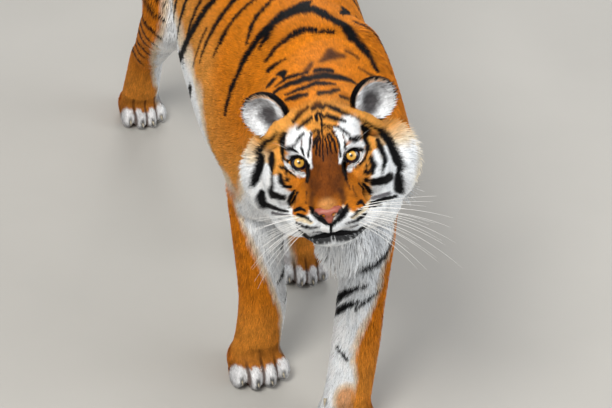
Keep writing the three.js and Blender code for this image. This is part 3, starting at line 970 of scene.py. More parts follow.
def packed_shift() -> Array:
    """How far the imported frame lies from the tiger's own, in mm, told by the middle of the two eye solids."""
    corners = [np.array(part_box(name)) for name in ("eye_left", "eye_right")]
    middle = np.mean(corners, axis=(0, 1)) / MM
    own = HEAD.world([(EYES[0].origin + EYES[1].origin) / 2])[0]
    shift = middle - own
    shift[2] = 0.0
    return shift


def linear(colour: Array) -> Array:
    """Display colours, from 0 to 255, as light values from 0 to 1."""
    c = np.asarray(colour, float) / 255.0
    return np.where(c <= 0.04045, c / 12.92, ((np.maximum(c, 0) + 0.055) / 1.055) ** 2.4)


class Builder:
    """Makes Blender objects from arrays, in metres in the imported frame."""

    def __init__(self) -> None:
        """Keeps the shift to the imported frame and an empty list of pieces."""
        self.shift = packed_shift()
        self.pieces: list[bpy.types.Object] = []

    def metres(self, points: Array) -> Array:
        """Tiger-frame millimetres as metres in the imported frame."""
        return (points + self.shift) * MM

    def add(
        self,
        name: str,
        mesh: Mesh,
        material: bpy.types.Material,
        finish: Finish,
        colours: Array | None = None,
        normals: Array | None = None,
        unwrap: Array | None = None,
        nodes: tuple = (),
    ) -> bpy.types.Object:
        """Adds one piece that rides on the body.

        Args:
            name: the piece's name.
            mesh: its points and faces, in mm in the tiger's frame.
            material: what covers it.
            finish: not used.
            colours: light values at the points, for the attribute named tint.
            normals: shading normals at the points.
            unwrap: places of the points on the map OFBake.
            nodes: CAD nodes that it stands for.

        Returns:
            The new object.
        """
        data = bpy.data.meshes.new(name)
        count, faces = len(mesh.points), mesh.faces.astype(np.int32)
        data.vertices.add(count)
        data.vertices.foreach_set("co", self.metres(mesh.points).astype(np.float32).ravel())
        data.loops.add(faces.size)
        data.loops.foreach_set("vertex_index", faces.ravel())
        data.polygons.add(len(faces))
        data.polygons.foreach_set("loop_start", np.arange(0, faces.size, 3, dtype=np.int32))
        data.update(calc_edges=True)
        data.polygons.foreach_set("use_smooth", np.ones(len(faces), bool))
        if colours is not None:
            tint = data.color_attributes.new("tint", "FLOAT_COLOR", "POINT")
            opaque = np.column_stack([colours, np.ones(count)])
            tint.data.foreach_set("color", opaque.astype(np.float32).ravel())
        if unwrap is not None:
            layer = data.uv_layers.new(name="OFBake")
            layer.data.foreach_set("uv", unwrap[faces.ravel()].astype(np.float32).ravel())
        if normals is not None:
            data.normals_split_custom_set_from_vertices(normals.astype(np.float32))
        data.materials.append(material)
        piece = bpy.data.objects.new(name, data)
        bpy.context.scene.collection.objects.link(piece)
        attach(piece, "root")
        if nodes:
            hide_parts(*nodes)
        self.pieces.append(piece)
        return piece


class Graph:
    """Short calls to build a material's nodes."""

    def __init__(self, name: str) -> None:
        """Starts a material with one surface shader."""
        self.material = bpy.data.materials.new(name)
        self.material.use_nodes = True
        self.tree = self.material.node_tree
        self.shader = self.tree.nodes["Principled BSDF"]

    def node(self, kind: str, inputs: dict | None = None, **settings: object) -> bpy.types.Node:
        """Adds a node, sets its properties and fills its sockets."""
        made = self.tree.nodes.new(kind)
        for key, value in settings.items():
            setattr(made, key, value)
        self.fill(made, inputs or {})
        return made

    def fill(self, node: bpy.types.Node, inputs: dict) -> None:
        """Gives a node's sockets their values, or joins them to other nodes' sockets."""
        for key, value in inputs.items():
            if isinstance(value, bpy.types.NodeSocket):
                self.tree.links.new(value, node.inputs[key])
            else:
                node.inputs[key].default_value = value

    def tint(self) -> bpy.types.NodeSocket:
        """The colour held at the mesh's points."""
        return self.node("ShaderNodeVertexColor", layer_name="tint").outputs["Color"]

    def grain(self, scale: float, detail: float = 3.0) -> bpy.types.NodeSocket:
        """Noise over the object, `scale` waves to the metre."""
        where = self.node("ShaderNodeTexCoord").outputs["Object"]
        inputs = {"Scale": scale, "Detail": detail, "Vector": where}
        return self.node("ShaderNodeTexNoise", inputs).outputs["Fac"]

    def varied(self, colour: bpy.types.NodeSocket, grain: bpy.types.NodeSocket, low: float,
               high: float) -> None:
        """Base colour from a colour that the grain darkens to `low` and lightens to `high`."""
        limits = {"From Min": 0.3, "From Max": 0.7, "To Min": low, "To Max": high}
        share = self.node("ShaderNodeMapRange", {**limits, "Value": grain}).outputs["Result"]
        scaled = self.node("ShaderNodeVectorMath", {0: colour, "Scale": share}, operation="SCALE")
        self.fill(self.shader, {"Base Color": scaled.outputs["Vector"]})

    def bump(self, grain: bpy.types.NodeSocket, strength: float, distance: float) -> None:
        """Small relief from the grain."""
        made = self.node("ShaderNodeBump", {"Strength": strength, "Distance": distance, "Height": grain})
        self.fill(self.shader, {"Normal": made.outputs["Normal"]})


@dataclass(frozen=True)
class Surface:
    """A finish: its shine, grain and relief."""

    name: str
    roughness: float
    specular: float
    grain_scale: float
    low: float
    high: float
    bump: float = 0.0
    bump_depth: float = 0.0005
    glaze: float = 0.0
    glaze_roughness: float = 0.04

    def made(self) -> bpy.types.Material:
        """The material, its colour from the points' tint."""
        graph = Graph(self.name)
        graph.fill(graph.shader, {
            "Roughness": self.roughness, "Specular IOR Level": self.specular,
            "Coat Weight": self.glaze, "Coat Roughness": self.glaze_roughness,
        })
        grain = graph.grain(self.grain_scale)
        graph.varied(graph.tint(), grain, self.low, self.high)
        if self.bump:
            graph.bump(grain, self.bump, self.bump_depth)
        return graph.material


SURFACES = {
    "skin": Surface("under_coat", 0.75, 0.2, 420.0, 0.7, 1.15, 0.5, 0.0008),
    "coat": Surface("fur", 0.65, 0.12, 260.0, 0.88, 1.1),
    "nose": Surface("nose_leather", 0.42, 0.4, 900.0, 0.8, 1.15, 0.5, 0.0006),
    "eye": Surface("eyeball", 0.25, 0.5, 1500.0, 0.82, 1.15, glaze=1.0),
    "lip": Surface("lip_skin", 0.55, 0.12, 700.0, 0.7, 1.2, 0.3, 0.0004),
    "rim": Surface("eye_rim", 0.35, 0.5, 700.0, 0.7, 1.2, 0.3, 0.0004),
    "claw": Surface("claw_horn", 0.3, 0.5, 300.0, 0.75, 1.15, 0.2, 0.0003),
    "whisker": Surface("whisker_hair", 0.35, 0.5, 500.0, 0.85, 1.1),
}


# ---- Eyes, nose, ears, whiskers and claws


def mixed(low: Array, high: Array, share: Array) -> Array:
    """Colours between two, or between two lists of them row by row, by a share for each row."""
    return np.asarray(low) + (np.asarray(high) - np.asarray(low)) * np.asarray(share)[:, None]


def swept(path: Array, radii: Array, sides: int, closed: bool = False) -> Mesh:
    """A round tube along a path, with its own radius at each point.

    Args:
        path: points along the middle.
        radii: radius at each point.
        sides: corners round the section.
        closed: whether the path ends where it starts.

    Returns:
        The tube, its ends closed where the path is open.
    """
    n = len(path)
    if closed:
        way = unit(np.roll(path, -1, 0) - np.roll(path, 1, 0))
    else:
        way = unit(np.gradient(path, axis=0))
    first = across_plane(np.tile([0.13, 0.31, 0.94], (n, 1)), way)
    second = np.cross(way, first)
    turn = np.arange(sides) / sides * 2 * math.pi
    ring = np.cos(turn)[None, :, None] * first[:, None] + np.sin(turn)[None, :, None] * second[:, None]
    points = (path[:, None] + ring * np.asarray(radii)[:, None, None]).reshape(-1, 3)
    i, j = np.meshgrid(np.arange(n if closed else n - 1), np.arange(sides), indexing="ij")
    a, b = i * sides + j, i * sides + (j + 1) % sides
    c, d = (i + 1) % n * sides + (j + 1) % sides, (i + 1) % n * sides + j
    faces = np.stack([np.stack([a, b, c], -1), np.stack([a, c, d], -1)], 2).reshape(-1, 3)
    if not closed:
        fan = np.arange(1, sides - 1)
        last = (n - 1) * sides
        ends = [np.stack([0 * fan, fan + 1, fan], 1),
                np.stack([0 * fan + last, last + fan, last + fan + 1], 1)]
        faces = np.vstack([faces, *ends])
    return Mesh(points, faces)


def joined_meshes(meshes: list[Mesh]) -> Mesh:
    """Several meshes as one."""
    starts = np.cumsum([0] + [len(m.points) for m in meshes[:-1]])
    return Mesh(np.vstack([m.points for m in meshes]),
                np.vstack([m.faces + s for m, s in zip(meshes, starts)]))


@dataclass
class EyePieces:
    """Both eyeballs and the dark rims of their lids."""

    iris: float = 9.6
    pupil: float = 2.3
    rings: int = 74
    sides: int = 72
    gold: tuple = (236, 178, 72)
    olive: tuple = (150, 112, 40)
    navy: tuple = (20, 22, 42)
    black: tuple = (7, 6, 7)

    def ball(self, eye: Eye) -> tuple[Mesh, Array]:
        """An eyeball with its pole at the pupil, rings close together over the iris."""
        share = np.arange(self.rings + 1) / self.rings
        polar = math.pi * (0.32 * share + 0.68 * share**3)
        turn = np.arange(self.sides) / self.sides * 2 * math.pi
        away, ahead = eye.radius * np.sin(polar), eye.radius * np.cos(polar)
        domed = ahead + 1.3 * np.clip(1 - (away / (self.iris + 1)) ** 2, 0, 1) * (polar < math.pi / 2)
        level = np.repeat(domed[:, None], self.sides, 1)
        ring = away[:, None]
        local = np.stack([ring * np.cos(turn), ring * np.sin(turn), level], -1).reshape(-1, 3)
        i, j = np.meshgrid(np.arange(self.rings), np.arange(self.sides), indexing="ij")
        a, b = i * self.sides + j, i * self.sides + (j + 1) % self.sides
        faces = np.stack([np.stack([a, a + self.sides, b + self.sides], -1),
                          np.stack([a, b + self.sides, b], -1)], 2)
        faces = faces.reshape(-1, 3)
        if eye.side < 0:
            faces = faces[:, ::-1]
        return Mesh(HEAD.world(eye.world(local)), faces), self.tint(local)

    def tint(self, local: Array) -> Array:
        """Pupil, a gold iris with rays and a dark edge, and a navy white of the eye."""
        away = np.hypot(local[:, 0], local[:, 1]) + np.where(local[:, 2] < 0, 40.0, 0.0)
        turn = np.arctan2(local[:, 1], local[:, 0])
        rays = 0.5 + 0.5 * np.sin(turn * 37 + 3 * np.sin(turn * 11)) * np.sin(turn * 23 + 1.3)
        inner = smooth(self.pupil, self.pupil + 3.0, away)
        iris = mixed(linear(self.olive), linear(self.gold), np.clip(inner * (0.75 + 0.35 * rays), 0, 1))
        edge = smooth(self.iris - 1.6, self.iris - 0.1, away)
        iris = iris * (1 - 0.75 * edge[:, None])
        shown = np.where((away < self.pupil)[:, None], linear(self.black), iris)
        white = mixed(linear(self.navy), linear(self.black), smooth(12, 17, away))
        return mixed(shown, white, smooth(self.iris - 0.3, self.iris + 0.5, away))

    def rim(self, eye: Eye) -> Mesh:
        """A soft dark rim along the lids' edge, thicker above."""
        turn = np.arange(64) / 64 * 2 * math.pi
        away = eye.opening(turn) + 0.5
        away = (away + np.roll(away, 1) + np.roll(away, -1)) / 3
        ahead = np.sqrt((eye.radius + 1.0) ** 2 - np.minimum(away, eye.radius) ** 2)
        path = np.stack([away * np.cos(turn), away * np.sin(turn), ahead], 1)
        radii = 1.5 + 0.8 * np.clip(np.sin(turn + 0.3), 0, 1)
        return swept(HEAD.world(eye.world(path)), radii, 8, closed=True)

    def add(self, builder: Builder, made: dict) -> None:
        """Adds the eyeballs and their rims."""
        for eye in EYES:
            side = SIDE_WORDS[eye.side]
            ball, tint = self.ball(eye)
            builder.add(f"eyeball_{side}", ball, made["eye"], Finish.EYE, tint, nodes=(f"eye_{side}",))
            rim = self.rim(eye)
            shade = np.tile(linear((16, 13, 13)), (len(rim.points), 1))
            builder.add(f"eye_rim_{side}", rim, made["rim"], Finish.LIP, shade)


@dataclass
class NosePad:
    """The bare pink nose with its two comma nostrils, their openings darkened with painted shade."""

    pink: tuple = (172, 94, 76)
    nostril_shade: tuple = (22, 14, 14)

    def __post_init__(self) -> None:
        """Builds the pad and the nostrils cut into it."""
        wing = Egg((16, -122, -56), (12, 13, 9), (0, 12, 0))
        self.pad = Blend(8.0, Egg((0, -123, -57), (20, 15, 11)), Mirrored(wing),
                         Egg((0, -121, -72), (9, 14, 13)))
        hole = Egg((12.5, -138, -62), (6.5, 9, 5), (0, 25, 0))
        slit = Egg((20.5, -131, -65), (7.5, 7, 2.6), (0, -28, 0))
        self.nostrils = Mirrored(Blend(3.0, hole, slit))

    def field(self, points: Array) -> Array:
        """Distance outside the pad, with its nostrils hollowed and a crease down its middle."""
        pad, hole = self.pad.distance(points), self.nostrils.distance(points)
        crease = 1.6 * np.exp(-((points[:, 0] / 1.8) ** 2)) * smooth(-58, -66, points[:, 2])
        return np.maximum(pad + crease, -hole)

    def add(self, builder: Builder, made: dict) -> None:
        """Adds the nose."""
        mesh = surface_net(self.field, (-36, -146, -90), (36, -104, -40), 1.1)
        mesh = mesh.relaxed(0.6).relaxed(0.4)
        x, z = np.abs(mesh.points[:, 0]), mesh.points[:, 2]
        slant = (x - 8) / 18 - (z + 77) / 25
        comma = smooth(-0.42, -0.2, slant) * smooth(-49, -54, z)
        # Painted shade in the nostril openings: dark in the hollows and over the lower outer slits.
        nostril_shade = np.maximum(smooth(1.5, 0.0, self.nostrils.distance(mesh.points)), comma)
        mottle = 0.88 + 0.14 * noise(mesh.points, 5.0, 3)
        tint = mixed(linear(self.pink), linear(self.nostril_shade), nostril_shade) * mottle[:, None]
        mesh = Mesh(HEAD.world(mesh.points), mesh.faces)
        builder.add("nose_leather", mesh, made["nose"], Finish.NOSE, tint, nodes=("nose_pad",))


@dataclass
class Ear:
    """A round cupped ear, its mouth forward and out."""

    side: int
    root: tuple = (100.0, 88.0, 70.0)
    turn: tuple = (-12.0, 36.0, 20.0)

    def __post_init__(self) -> None:
        """Works out the ear's axes in the head's frame, and its outer form and hollow."""
        x, y, z = self.turn
        self.axes = turn_xyz((x, y * self.side, z * self.side))
        self.centre = np.array(self.root) * [self.side, 1, 1]
        self.outer = Egg((0, 3, 4), (40, 17, 44))
        self.hollow = Egg((0, -17, 6), (36.5, 28, 40))

    def local(self, points: Array) -> Array:
        """Tiger-frame points in the ear's frame."""
        return (HEAD.local(points) - self.centre) @ self.axes

    def world(self, points: Array) -> Array:
        """Ear-frame points in the tiger's frame."""
        return HEAD.world(points @ self.axes.T + self.centre)

    def field(self, points: Array) -> Array:
        """Distance outside the ear, its hollow pressed in softly."""
        return -soft_min(-self.outer.distance(points), self.hollow.distance(points), 3.0)

    def mesh(self) -> Mesh:
        """The ear's own skin."""
        net = surface_net(self.field, (-48, -24, -68), (48, 32, 62), 3.0).relaxed(0.5)
        return Mesh(self.world(net.points), net.faces)


EARS = (Ear(-1), Ear(1))


# ---- Markings


class Ink(Enum):
    """Colours of the coat, as display values."""

    ORANGE = (214, 124, 20)
    GOLD = (226, 158, 72)
    RUST = (98, 46, 10)
    TAN = (206, 146, 84)
    WHITE = (248, 250, 252)
    CREAM = (232, 214, 180)
    GREY = (120, 118, 122)
    BROWN = (78, 42, 16)
    # Painted shade in the ears' hollows.
    HOLLOW_SHADE = (44, 36, 38)
    BLACK = (8, 7, 9)

    @property
    def light(self) -> Array:
        """The colour as light values."""
        return linear(self.value)


@dataclass(frozen=True)
class Stroke:
    """A marking along a line on a chart: across, up and half width at each point."""

    line: tuple
    ink: Ink = Ink.BLACK
    edge: float = 0.3
    strength: float = 1.0

    def cover(self, chart: Array, heavier: float) -> tuple[Array, Array]:
        """Rows of the chart that the stroke touches, and how much it covers each."""
        line = np.asarray(self.line, float)
        reach = line[:, 2].max() * 1.5 * heavier
        low, high = line[:, :2].min(0) - reach, line[:, :2].max(0) + reach
        rows = np.flatnonzero(((chart > low) & (chart < high)).all(1))
        points, best = chart[rows], np.full(len(rows), 9.0)
        for a, b in zip(line[:-1], line[1:]):
            span = b[:2] - a[:2]
            t = np.clip((points - a[:2]) @ span / max(span @ span, 1e-9), 0, 1)
            away = np.linalg.norm(points - a[:2] - t[:, None] * span, axis=1)
            best = np.minimum(best, away / np.maximum((a[2] + (b[2] - a[2]) * t) * heavier, 1e-3))
        return rows, self.strength * smooth(1 + self.edge, 1 - self.edge, best)


def painted(colours: Array, chart: Array, strokes: tuple, heavier: float = 1.0) -> Array:
    """Colours with strokes laid over them in turn.

    Args:
        colours: light values, changed in place.
        chart: each one's place on the strokes' chart.
        strokes: what is laid on.
        heavier: how many times wider than written.

    Returns:
        The same colours.
    """
    for stroke in strokes:
        rows, cover = stroke.cover(chart, heavier)
        colours[rows] += (stroke.ink.light - colours[rows]) * cover[:, None]
    return colours


def toned(colours: Array, ink: Ink, share: Array) -> Array:
    """Colours drawn towards one ink by a share at each row."""
    return colours + (ink.light - colours) * np.clip(share, 0, 1)[:, None]


def plain_coat(ink: Ink, count: int) -> Array:
    """The same colour for every one of some places."""
    return np.tile(ink.light, (count, 1))


def whitened(colours: Array, share: Array) -> Array:
    """Colours turned white by a share, through cream where it is partial."""
    share = np.clip(share, 0, 1)
    return toned(toned(colours, Ink.WHITE, share), Ink.CREAM, 1.6 * np.minimum(share, 1 - share))


def bump_at(chart: Array, across: float, up: float, wide: float, tall: float, soft: float = 0.35) -> Array:
    """A soft oval patch on a chart: one inside it and nought outside."""
    away = np.hypot((chart[:, 0] - across) / wide, (chart[:, 1] - up) / tall)
    return smooth(1 + soft, 1 - soft, away)


# Painted shade down the sides of the bridge, on the face seen from before and a little above: distance from its
# middle line and height, in mm.
BRIDGE_SIDE_SHADE = (
    Stroke(((24, -40, 5), (17, -54, 9), (22, -66, 6)), Ink.BROWN, 0.9, 0.5),
    Stroke(((27, -66, 4), (31, -82, 6), (29, -92, 4)), Ink.BROWN, 0.8, 0.8),
)
# On the head seen from before, in mm towards the tiger's left and up. Each ink is laid over the last.
HEAD_MARKS = (
    (Ink.WHITE, (
        ((-22, 50, 3), (-26, 40, 5), (-33, 20, 6), (-33, 0, 5), (-32, -12, 4)),
        ((26, 52, 3), (30, 44, 5), (35, 25, 5), (33, 5, 4.5), (28, -12, 4)),
        ((-114, -5, 7), (-119, -25, 8), (-122, -45, 8), (-118, -62, 7)),
        ((-97, -28, 6), (-98, -42, 6), (-90, -55, 7), (-80, -60, 5)),
        ((118, 0, 6), (126, -20, 8), (130, -38, 8), (122, -45, 7)),
        ((96, -5, 5), (99, -25, 6), (94, -42, 6), (88, -50, 5)),
        ((-77, -1, 2.6), (-70, -9, 3.2), (-60, -20, 3.4), (-47, -27, 3.8)),
        ((78, 5, 2.2), (71, 0, 2.8), (65, -11, 3.4), (55, -18, 3.2), (44, -25, 3.6), (42, -29, 3.8)),
        ((40, 6, 3), (47, 13, 4), (56, 15, 5)),
        ((-40, 6, 3), (-48, 13, 4), (-60, 15, 4), (-70, 10, 3)),
    )),
    (Ink.CREAM,
     (((-70, -104, 3), (-57, -110, 3.5), (-43, -117, 2.5)),
      ((70, -97, 3), (58, -106, 3.5), (34, -118, 2.5)))),
    (Ink.BROWN, (
        ((-40, 37, 1.6), (-42, 30, 1.4)), ((38, 38, 1.4), (40, 28, 1.4)),
        ((5, 55, 1.6), (17, 51, 1.6), (24, 44, 1.6)), ((43, -60, 1), (47, -80, 1)),
        ((-78, -19, 2.5), (-77, -19, 2.5)),
        ((-44, -58, 1), (-48, -80, 1)), ((33, -50, 1), (38, -66, 1)),
    )),
    (Ink.GREY, (
        ((-116, -92, 2), (-83, -101, 2)), ((77, -89, 2.5), (112, -85, 2.5)), ((27, -137, 1), (43, -134, 1)),
        ((-27, -138, 1), (-43, -136, 1)),
    )),
    (Ink.BLACK, (
        ((-85, 59, 2), (-98, 48, 3), (-111, 44, 4.5), (-120, 36, 5), (-130, 28, 4)),
        ((-124, 19, 6), (-126, 6, 7), (-132, -7, 7), (-140, -21, 7.5), (-146, -33, 5)),
        ((-131, -51, 5), (-135, -62, 8), (-133, -74, 7)),
        ((-133, -70, 5), (-122, -77, 4), (-104, -86, 3), (-86, -93, 1.5)),
        ((-101, 21, 4), (-102, 12, 5.5), (-103, 2, 5), (-104, -11, 2.5), (-106, -26, 2), (-108, -39, 3),
         (-112, -50, 5), (-111, -60, 4)),
        ((-107, -57, 5), (-98, -62, 5), (-89, -65, 4)),
        ((-90, -21, 3.5), (-90, -32, 4.5), (-87, -42, 3.5)),
        ((-86, -7, 3), (-80, -9, 3), (-73, -17, 1.6), (-61, -28, 1.4)),
        ((-78, -32, 3.8), (-77, -32, 3.8)),
        ((-84, -45, 2.4), (-73, -46, 2.4)),
        ((-66, -53, 1.5), (-75, -63, 3), (-80, -72, 3), (-80, -84, 2)),
        ((-61, -58, 1.5), (-70, -70, 1.8), (-76, -79, 1)),
        ((-73, 3, 2.5), (-62, 8, 3), (-51, 8, 3), (-40, 0, 3), (-35, -12, 3), (-37, -25, 3.5),
         (-41, -40, 2.5)),
        ((-72, 55, 3), (-78, 45, 5), (-78, 33, 3), (-80, 28, 3), (-80, 14, 3), (-80, 6, 3)),
        ((-70, -91, 2.5), (-60, -87, 2.5), (-51, -94, 1.5)),
        ((-67, -99, 2), (-53, -104, 2.8), (-43, -115, 1.2)),
        ((-71, -114, 1.5), (-59, -122, 2.8), (-46, -127, 2.2), (-29, -128, 1)),
        ((-71, -126, 1.5), (-63, -135, 2), (-55, -144, 3)),
        ((-21, 99, 3), (-34, 92, 4), (-43, 84, 4), (-52, 75, 2)),
        ((-17, 78, 3), (-29, 71, 3.6), (-46, 61, 1.6)),
        ((-12, 96, 4), (-1, 102, 6), (7, 95, 4)),
        ((13, 100, 2.5), (29, 90, 4), (47, 79, 3), (63, 69, 2), (80, 59, 1.6), (98, 46, 2.2), (113, 34, 3)),
        ((14, 79, 3.5), (30, 70, 4.2), (46, 63, 2)),
        ((-2, 89, 1.5), (-7, 80, 3), (-7, 72, 3)),
        ((0, 87, 1.6), (8, 76, 2.6)),
        ((-1, 88, 1.2), (2, 72, 1.4), (0, 52, 1.4), (-1, 44, 1)),
        ((4, 61, 1.6), (18, 57, 1.8), (33, 53, 2.2), (43, 44, 2), (51, 34, 1.8), (53, 26, 1.6)),
        ((52, 26, 3.5), (60, 26, 5), (70, 29, 3.5)),
        ((-35, 50, 2.2), (-45, 43, 2.2), (-54, 33, 2), (-62, 25, 3.6), (-71, 27, 4)),
        ((-62, 24, 2), (-51, 17, 1.4)),
        ((40, 23, 2), (40, 10, 1.6)),
        ((-42, 24, 2.2), (-40, 8, 1.2)),
        ((-21, 49, 1.5), (-24, 35, 1.8), (-28, 20, 1.8), (-33, 5, 1.4)),
        ((25, 38, 1.3), (29, 24, 1.8), (29, 9, 1.6), (28, -4, 1.2)),
        ((-21, 49, 2.4), (-9, 52, 3), (-2, 50, 1.5)),
        ((-6, 46, 1.8), (-16, 35, 2.6), (-20, 22, 1.2)),
        ((-5, 40, 1.4), (-13, 29, 1.8), (-17, 8, 1.2)),
        ((-4, 36, 1.2), (-8, 22, 1.4), (-11, 3, 0.9)),
        ((1, 43, 1), (-2, 23, 1.1), (-6, -6, 1)),
        ((4, 39, 1.2), (5, 24, 1.4), (5, 4, 0.9)),
        ((8, 42, 1.4), (12, 27, 1.8), (13, 5, 1)),
        ((12, 44, 1.8), (20, 28, 2.4), (22, 6, 1.2)),
        ((18, 45, 1.5), (25, 35, 1.5)),
        ((79, 49, 3.5), (85, 39, 6.5), (79, 28, 3.5), (81, 16, 4), (85, 4, 3)),
        ((85, 2, 2.6), (72, 5, 3), (59, 7, 3), (47, 5, 3), (38, -4, 3), (32, -18, 3.5), (32, -32, 3.5),
         (33, -47, 2)),
        ((79, -2, 1.5), (72, -14, 1.7), (62, -23, 1.5), (52, -28, 1)),
        ((103, 19, 3.5), (105, 7, 5.5), (109, -7, 4.5), (112, -21, 4), (106, -34, 2.5), (103, -45, 2)),
        ((83, -59, 5.5), (95, -59, 6), (107, -58, 6.5), (117, -53, 6)),
        ((113, 34, 5), (121, 24, 7), (127, 11, 7), (130, -5, 7), (135, -21, 8), (141, -37, 6), (135, -48, 4),
         (133, -63, 8), (132, -78, 8), (137, -86, 4)),
        ((86, -13, 3.5), (88, -27, 5), (84, -40, 4)),
        ((75, -27, 2.6), (75.5, -27, 2.6)),
        ((73, -38, 4.5), (73.5, -38, 4.5)),
        ((71, -53, 4), (71.5, -53, 4)),
        ((64, -58, 1.5), (72, -71, 3), (76, -79, 3.5)),
        ((55, -57, 1.3), (64, -71, 1.3)),
        ((47, -94, 2), (55, -91, 3), (60, -98, 1.6)),
        ((55, -104, 1.4), (43, -110, 2.6), (32, -117, 1.2)),
        ((63, -113, 1.6), (51, -120, 3), (36, -126, 2), (20, -129, 1)),
        ((75, -98, 3), (101, -94, 3.5), (126, -93, 2)),
        ((71, -103, 2.5), (90, -104, 2.5)),
        ((-41, -89, 2), (-37, -97, 4), (-30, -106, 5), (-18, -118, 5), (-8, -126, 2.5)),
        ((28, -93, 2), (26, -100, 4), (20, -108, 5), (7, -119, 4.5), (-6, -126, 2.5)),
        ((-7, -124, 1.4), (-9, -139, 2)),
    )),
)
# Where orange gives way to white.
# Head: degrees round from its middle, then degrees up on its right and on its left.
HEAD_EDGE = (
    (0, 35, 42, 47, 52, 58, 70, 85, 100, 115),
    (-30, -24, -19, -14, -8, 0, 8, 16, 30, 26),
    (-30, -24, -17, -11, -2, 10, 18, 24, 36, 30),
)
# Muzzle: mm from its middle line, and height.
# Trunk: mm back from the shoulders, and degrees round from the spine.
MUZZLE_EDGE = ((0, 18, 29, 36, 50, 62, 70, 76, 83), (-126, -106, -99, -104, -110, -114, -102, -82, -56))
BELLY_EDGE = ((-260, -150, -60, 60, 150, 250, 600, 900), (88, 120, 140, 122, 96, 88, 92, 118))
# Legs: height, and degrees round from the front towards the inner side.
LEG_EDGES = {
    Limb.FORE_RIGHT: ((100, 160, 205, 255, 305, 360, 405, 450), (66, 52, 30, 12, -8, -24, -42, -56)),
    Limb.FORE_LEFT: ((128, 170, 200, 230, 270, 305, 345, 385, 450), (2, 18, 20, 8, -11, -24, -26, -40, -60)),
    Limb.HIND_RIGHT: ((100, 200, 260, 400, 600), (40, 12, -12, -28, -28)),
    Limb.HIND_LEFT: ((0, 1), (26, 26)),
}
# White patches over the eyes, on the face seen from in front: across, up, half width and half height.
BROW_PATCHES = ((-48, 36, 25, 31), (53, 48, 22, 27), (65, 15, 15, 9))
# On the back of the head, unrolled about the face: degrees from its middle, towards the tiger's left and up.
CROWN_BLACK = (
    Stroke(((-46, 99, 2), (-33, 103, 3), (-22, 106, 3), (-10, 110, 4), (1, 110, 3), (12, 110, 2))),
    Stroke(((-45, 93, 2), (-33, 94, 3), (-22, 97, 2))),
    Stroke(((-6, 99, 2), (8, 103, 3), (17, 107, 2))),
    Stroke(((24, 98, 2), (32, 97, 2))),
    Stroke(((-60, 92, 2), (-80, 84, 3), (-102, 74, 3))),
    Stroke(((60, 92, 2), (80, 84, 3), (102, 74, 3))),
)
# On the neck and trunk: mm back from the shoulders, and degrees round from the spine to the tiger's left.
# GIRTH and LEG_GIRTH are the mm round the trunk and a leg that one degree stands for.
GIRTH = 3.2
LEG_GIRTH = 0.95
TORSO_BLACK = (
    ((-171, -46, 5), (-179, -33, 7), (-191, -22, 8), (-193, -10, 9.5), (-191, 1, 9.5), (-192, 15, 9.5),
     (-190, 28, 8), (-189, 37, 3)),
    ((-150, -42, 3), (-154, -31, 5), (-162, -21, 5), (-165, -12, 3)),
    ((-165, -5, 5.5), (-168, 9, 5.5)),
    ((-218, -34, 3), (-226, -23, 5), (-226, -13, 5), (-219, -4, 6.5), (-226, 4, 5), (-226, 15, 3)),
    ((-240, -34, 5.5), (-250, -24, 6.5), (-257, -14, 5)),
    ((-262, -2, 5), (-258, 11, 5.5), (-248, 18, 5)),
    ((-272, 20, 4), (-276, 26, 5), (-273, 34, 3)),
    ((-106, -51, 5), (-112, -46, 9), (-118, -42, 5)),
    ((-142, -32, 3), (-120, -33, 8), (-104, -37, 6)),
    ((-59, -45, 4), (-61, -37, 5), (-62, -29, 2)),
    ((-34, -43, 2), (-27, -34, 3), (-17, -22, 4.5), (-9, -12, 5), (-18, -2, 3), (-23, 9, 2)),
    ((15, -95, 3), (25, -78, 5), (26, -64, 6), (31, -54, 8), (31, -44, 8), (38, -33, 9), (50, -24, 10),
     (62, -16, 13), (66, -8, 14), (55, -1, 10), (30, 5, 7), (2, 14, 8), (-28, 22, 7), (-50, 30, 6),
     (-72, 39, 5), (-98, 52, 3)),
    ((70, -9, 10), (92, -3, 6), (100, 0, 2)),
    ((6, -40, 3), (14, -34, 6), (32, -29, 6), (48, -22, 4)),
    ((58, -47, 2), (84, -41, 3.5), (106, -37, 4), (122, -29, 5), (140, -20, 3)),
    ((154, -70, 2), (160, -58, 5), (167, -46, 5), (175, -32, 4), (182, -14, 3)),
    ((214, -82, 3), (218, -64, 6), (223, -50, 7), (230, -36, 6), (236, -16, 4)),
    ((252, -92, 2), (248, -80, 3), (251, -66, 3)),
    ((238, -104, 3), (252, -108, 9), (274, -114, 4)),
    ((296, -34, 4), (298, -54, 9), (312, -74, 9), (334, -90, 9), (368, -104, 8), (420, -115, 6),
     (482, -122, 3)),
    ((52, 16, 4), (82, 22, 7), (118, 26, 10), (132, 30, 4)),
    ((20, 22, 3), (4, 40, 5), (-6, 62, 5), (-2, 84, 3)),
    ((150, 40, 3), (146, 62, 6), (158, 84, 6), (178, 100, 3)),
)
WITHERS = (((-126, 0, 6), (-106, 7, 13), (-80, 6, 8)), ((-100, 6, 12), (-96, 17, 8)),
           ((-74, 19, 4), (-84, 31, 3)),
           ((-176, -17, 3), (-150, -11, 8), (-128, -8, 4)), ((-118, 34, 3), (-112, 52, 4)))


